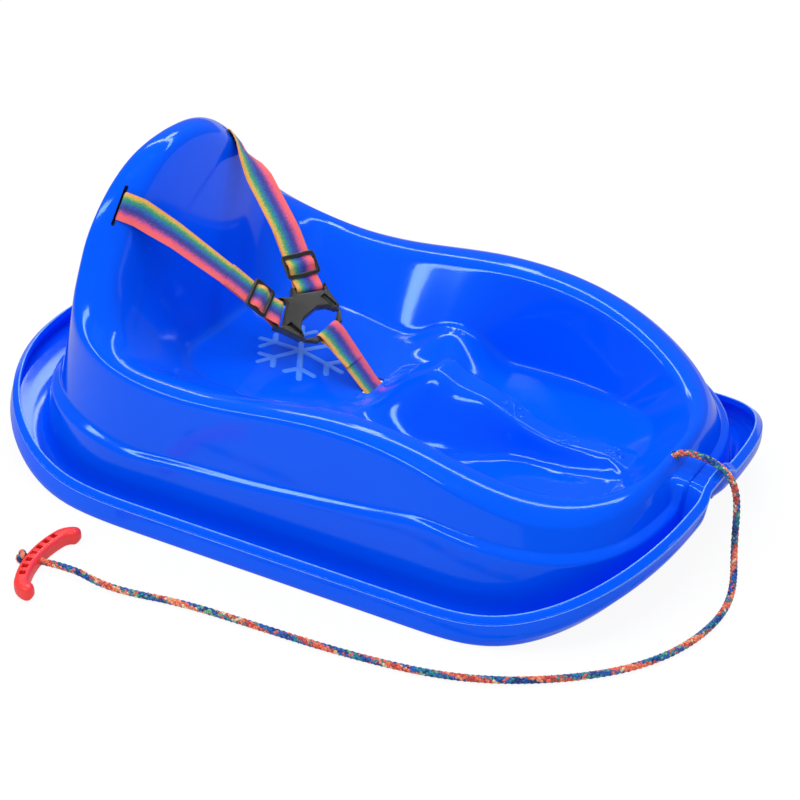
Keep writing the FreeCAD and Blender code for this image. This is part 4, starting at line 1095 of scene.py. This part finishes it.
def make_slider(side, label):
    centre, along, wide, face = slider_frame(side)
    base = centre + face * (layer + webbing / 2 + gap)

    def distance(x, y):
        outer = box_distance(x, y, 0, 0, slider_length / 2, slider_width / 2, 4.5)
        windows = box_distance(np.abs(x), y, (slider_bar + 7.5) / 2, 0, 3.3, 15.3, 1.4)
        return np.maximum(outer, -windows)

    def profile(x, y, d):
        rise = rounded(d, 1.5, 1.7)
        return slider_thick / 2 - rise, slider_thick / 2 + rise

    def frame_of(x, y, z):
        return base + along * x[:, None] + wide * y[:, None] + face * z[:, None]

    make_plate("slider_frame_" + label, (-14, 14, -20, 20), 0.5, distance, profile, frame_of,
               "slider_" + label)


def wing_local(side, x, y):
    """Places in a wing's own directions: along its bar, and out from the bar towards the hub."""
    dy = side * y - wing_offset
    return x * wing_sin + dy * wing_cos, x * wing_cos - dy * wing_sin


def make_body():
    half_bar, slot_wide = wing_bar / 2, 4.8
    wing = [(along * wing_sin + out * wing_cos, wing_offset + along * wing_cos - out * wing_sin)
            for along, out in ((-20, -half_bar), (20, -half_bar), (20, half_bar + slot_wide))]
    half = [(-4.0, 0.0)] + wing + [(37.6, 33.5), (37.6, 27.0), (29.0, 22.0), (23.0, 12.0), (23.0, 0.0)]
    outline = half + [(x, -y) for x, y in half[-2:0:-1]]

    def distance(x, y):
        outer = polygon_distance(x, y, outline)
        for side in (LEFT, RIGHT):
            u, v = wing_local(side, x, y)
            slot = box_distance(u, v, 0, half_bar + slot_wide / 2, 16.5, slot_wide / 2, 1.4)
            outer = np.maximum(outer, -slot)
        return outer

    def profile(x, y, d):
        rise = rounded(d, 2.0, 4.5)
        for side in (LEFT, RIGHT):
            u, v = wing_local(side, x, y)
            thin = rounded(np.clip(np.minimum(v + half_bar, half_bar - v), 0, None), half_bar - 0.1, half_bar)
            rise = np.where((np.abs(u) < 18.5) & (v < half_bar + 0.4), np.maximum(thin, 0.2), rise)
        dome = 0.5 * np.clip(1 - np.hypot((x - 8) / 22.0, y / 26.0), 0, 1)
        window = box_distance(np.abs(y), x, 28.5, 26.0, 3.4, 9.0, 1.5)
        return -rise, rise + dome - 3.4 * smooth(-window / 0.8 + 0.2)

    make_plate("buckle_hub", (-14, 40, -46, 46), 0.55, distance, profile, from_buckle, "buckle_body")


def make_ring():
    shank = [(32.0, 40.3), (27.0, 40.3), (18.5, 44.8), (18.5, 51.7), (21.5, 51.7), (23.5, 49.5)]

    def distance(x, y):
        return np.minimum(polygon_distance(np.abs(y), x, shank),
                          box_distance(x, y, crotch_bar_x, 0, wing_bar / 2, 19.5, 1.0))

    def profile(x, y, d):
        rise = np.where(np.abs(y) < 18.8, rounded(d, 2.0, 2.2), rounded(d, 1.4, 2.5))
        return -rise, rise

    make_plate("plug_ring", (38, 54, -34, 34), 0.5, distance, profile, from_buckle, "buckle_plug", "plug")


def make_arm(side, label):
    outline = [(39.85, 27.5), (39.85, 31.5), (29.0, 33.0), (26.0, 36.0), (15.0, 36.0), (15.0, 29.0)]

    def distance(x, y):
        return polygon_distance(x, side * y, outline)

    def profile(x, y, d):
        rise = rounded(d, 1.3, 2.5)
        ribs = 0.35 * (np.sin(x * 2.6) > 0.2) * smooth((side * y - 32.0) / 1.0)
        return -rise, rise - ribs * (d > 0.8)

    box = (14, 41, 26, 37) if side == LEFT else (14, 41, -37, -26)
    make_plate("arm_" + label, box, 0.45, distance, profile, from_buckle, "release_arm_" + label,
               "arm_" + label)


for slider_side, side_label in both_sides:
    make_slider(slider_side, side_label)
make_body()
make_ring()
for arm_side, side_label in both_sides:
    make_arm(arm_side, side_label)


# Stitches

def make_stitches(label, rows, size):
    """Small threads on a strap, each an ellipsoid of a few faces: a row is a start, an end, and the
    places across at both, in mm along the strap and from -1 to 1 across it."""
    points, ways, ups, places = bands[label]
    tangents = unit(np.gradient(points, axis=0))
    rings, spokes, pitch, proud = 5, 6, 2.6, 0.12
    t = np.linspace(0, math.pi, rings)
    a = ring_angles(spokes)
    ball = np.stack([np.cos(t)[:, None] * np.ones(spokes), np.sin(t)[:, None] * np.cos(a),
                     np.sin(t)[:, None] * np.sin(a)], -1) * np.array(size) / 2
    threads = []
    for start, end, low, high in rows:
        run, wide = abs(end - start), abs(high - low) * webbing_width / 2
        for share in np.linspace(0, 1, max(2, int(max(run, wide) / pitch))):
            k = int(np.argmin(np.abs(places - (places[-1] - between(start, end, share)))))
            spot = points[k] + ways[k] * between(low, high, share) * webbing_width / 2
            spot = spot + ups[k] * (webbing / 2 + proud)
            way = tangents[k] if run > wide else ways[k]
            threads.append(spot + ball @ np.array([way, np.cross(ups[k], way), ups[k]]))
    faces = np.concatenate([grid_faces(rings, spokes, rings * spokes * k, ring=True)
                            for k in range(len(threads))])
    tidy_mesh(place("stitches_" + label, np.array(threads), faces, thread, slot="webbing"))


for strap_label in bands:
    make_stitches(strap_label, [(4, 4, -0.85, 0.85), (12, 12, -0.85, 0.85), (4, 12, -0.85, -0.85),
                                (4, 12, 0.85, 0.85)], (2.0, 0.55, 0.5))


# Hidden rods keep their own shape

for node_name in ("strap_rod_left", "strap_rod_right", "strap_rod_crotch"):
    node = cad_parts[node_name]
    node.data.materials.clear()
    node.data.materials.append(rod_black)


# Floor and light

floor_mesh = bpy.data.meshes.new("floor")
floor_mesh.from_pydata([(-6, -6, 0), (6, -6, 0), (6, 6, 0), (-6, 6, 0)], [], [(0, 1, 2, 3)])
floor = bpy.data.objects.new("floor", floor_mesh)
floor.location.z = -0.0003
link(floor)
paper, nodes = material("paper")
ray = nodes.add("LightPath", {}).node.outputs
matt = nodes.add("BsdfDiffuse", {"Color": (0.92, 0.92, 0.92, 1)})
white = nodes.add("Emission", {"Color": WHITE, "Strength": 1.0})
dim = nodes.add("Emission", {"Color": WHITE, "Strength": 0.5})
seen = nodes.add("MixShader", {0: 0.07, 1: white, 2: matt})
plain = nodes.add("MixShader", {0: ray["Is Camera Ray"], 1: matt, 2: seen})
nodes.add("OutputMaterial", {0: nodes.add("MixShader", {0: ray["Is Glossy Ray"], 1: plain, 2: dim})})
floor_mesh.materials.append(paper)

world = bpy.data.worlds.new("studio")
bpy.context.scene.world = world
world.use_nodes = True
world.node_tree.nodes.clear()
nodes = Nodes(world.node_tree)
ray = nodes.add("LightPath", {}).node.outputs
soft, dark, seen = (nodes.add("Background", {"Color": WHITE, "Strength": level})
                    for level in (0.55, 0.12, 1.0))
plain = nodes.add("MixShader", {0: ray["Is Glossy Ray"], 1: soft, 2: dark})
nodes.add("OutputWorld", {0: nodes.add("MixShader", {0: ray["Is Camera Ray"], 1: plain, 2: seen})})


def softbox(name, position, target, wide, high, power, mirrored=True):
    lamp = bpy.data.lights.new(name, "AREA")
    lamp.shape = "RECTANGLE"
    lamp.size = wide
    lamp.size_y = high
    lamp.energy = power
    holder = bpy.data.objects.new(name, lamp)
    holder.location = position
    holder.rotation_euler = (Vector(target) - Vector(position)).to_track_quat("-Z", "Y").to_euler()
    holder.visible_glossy = mirrored
    link(holder)


softbox("key", (-0.9, -1.5, 2.6), (-0.9, 0, 0.1), 3.0, 0.34, 37.0)
softbox("far_strip", (-0.2, 1.5, 2.5), (-0.2, 0, 0.1), 4.0, 0.22, 26.0)
softbox("top", (0.4, -0.1, 3.0), (0, 0, 0), 1.4, 1.4, 27.0, mirrored=False)
softbox("rear_patch", (-0.68, 1.26, 1.7), (-0.34, -0.12, 0.04), 0.3, 0.3, 2.2)

bpy.context.scene.view_settings.view_transform = "Standard"
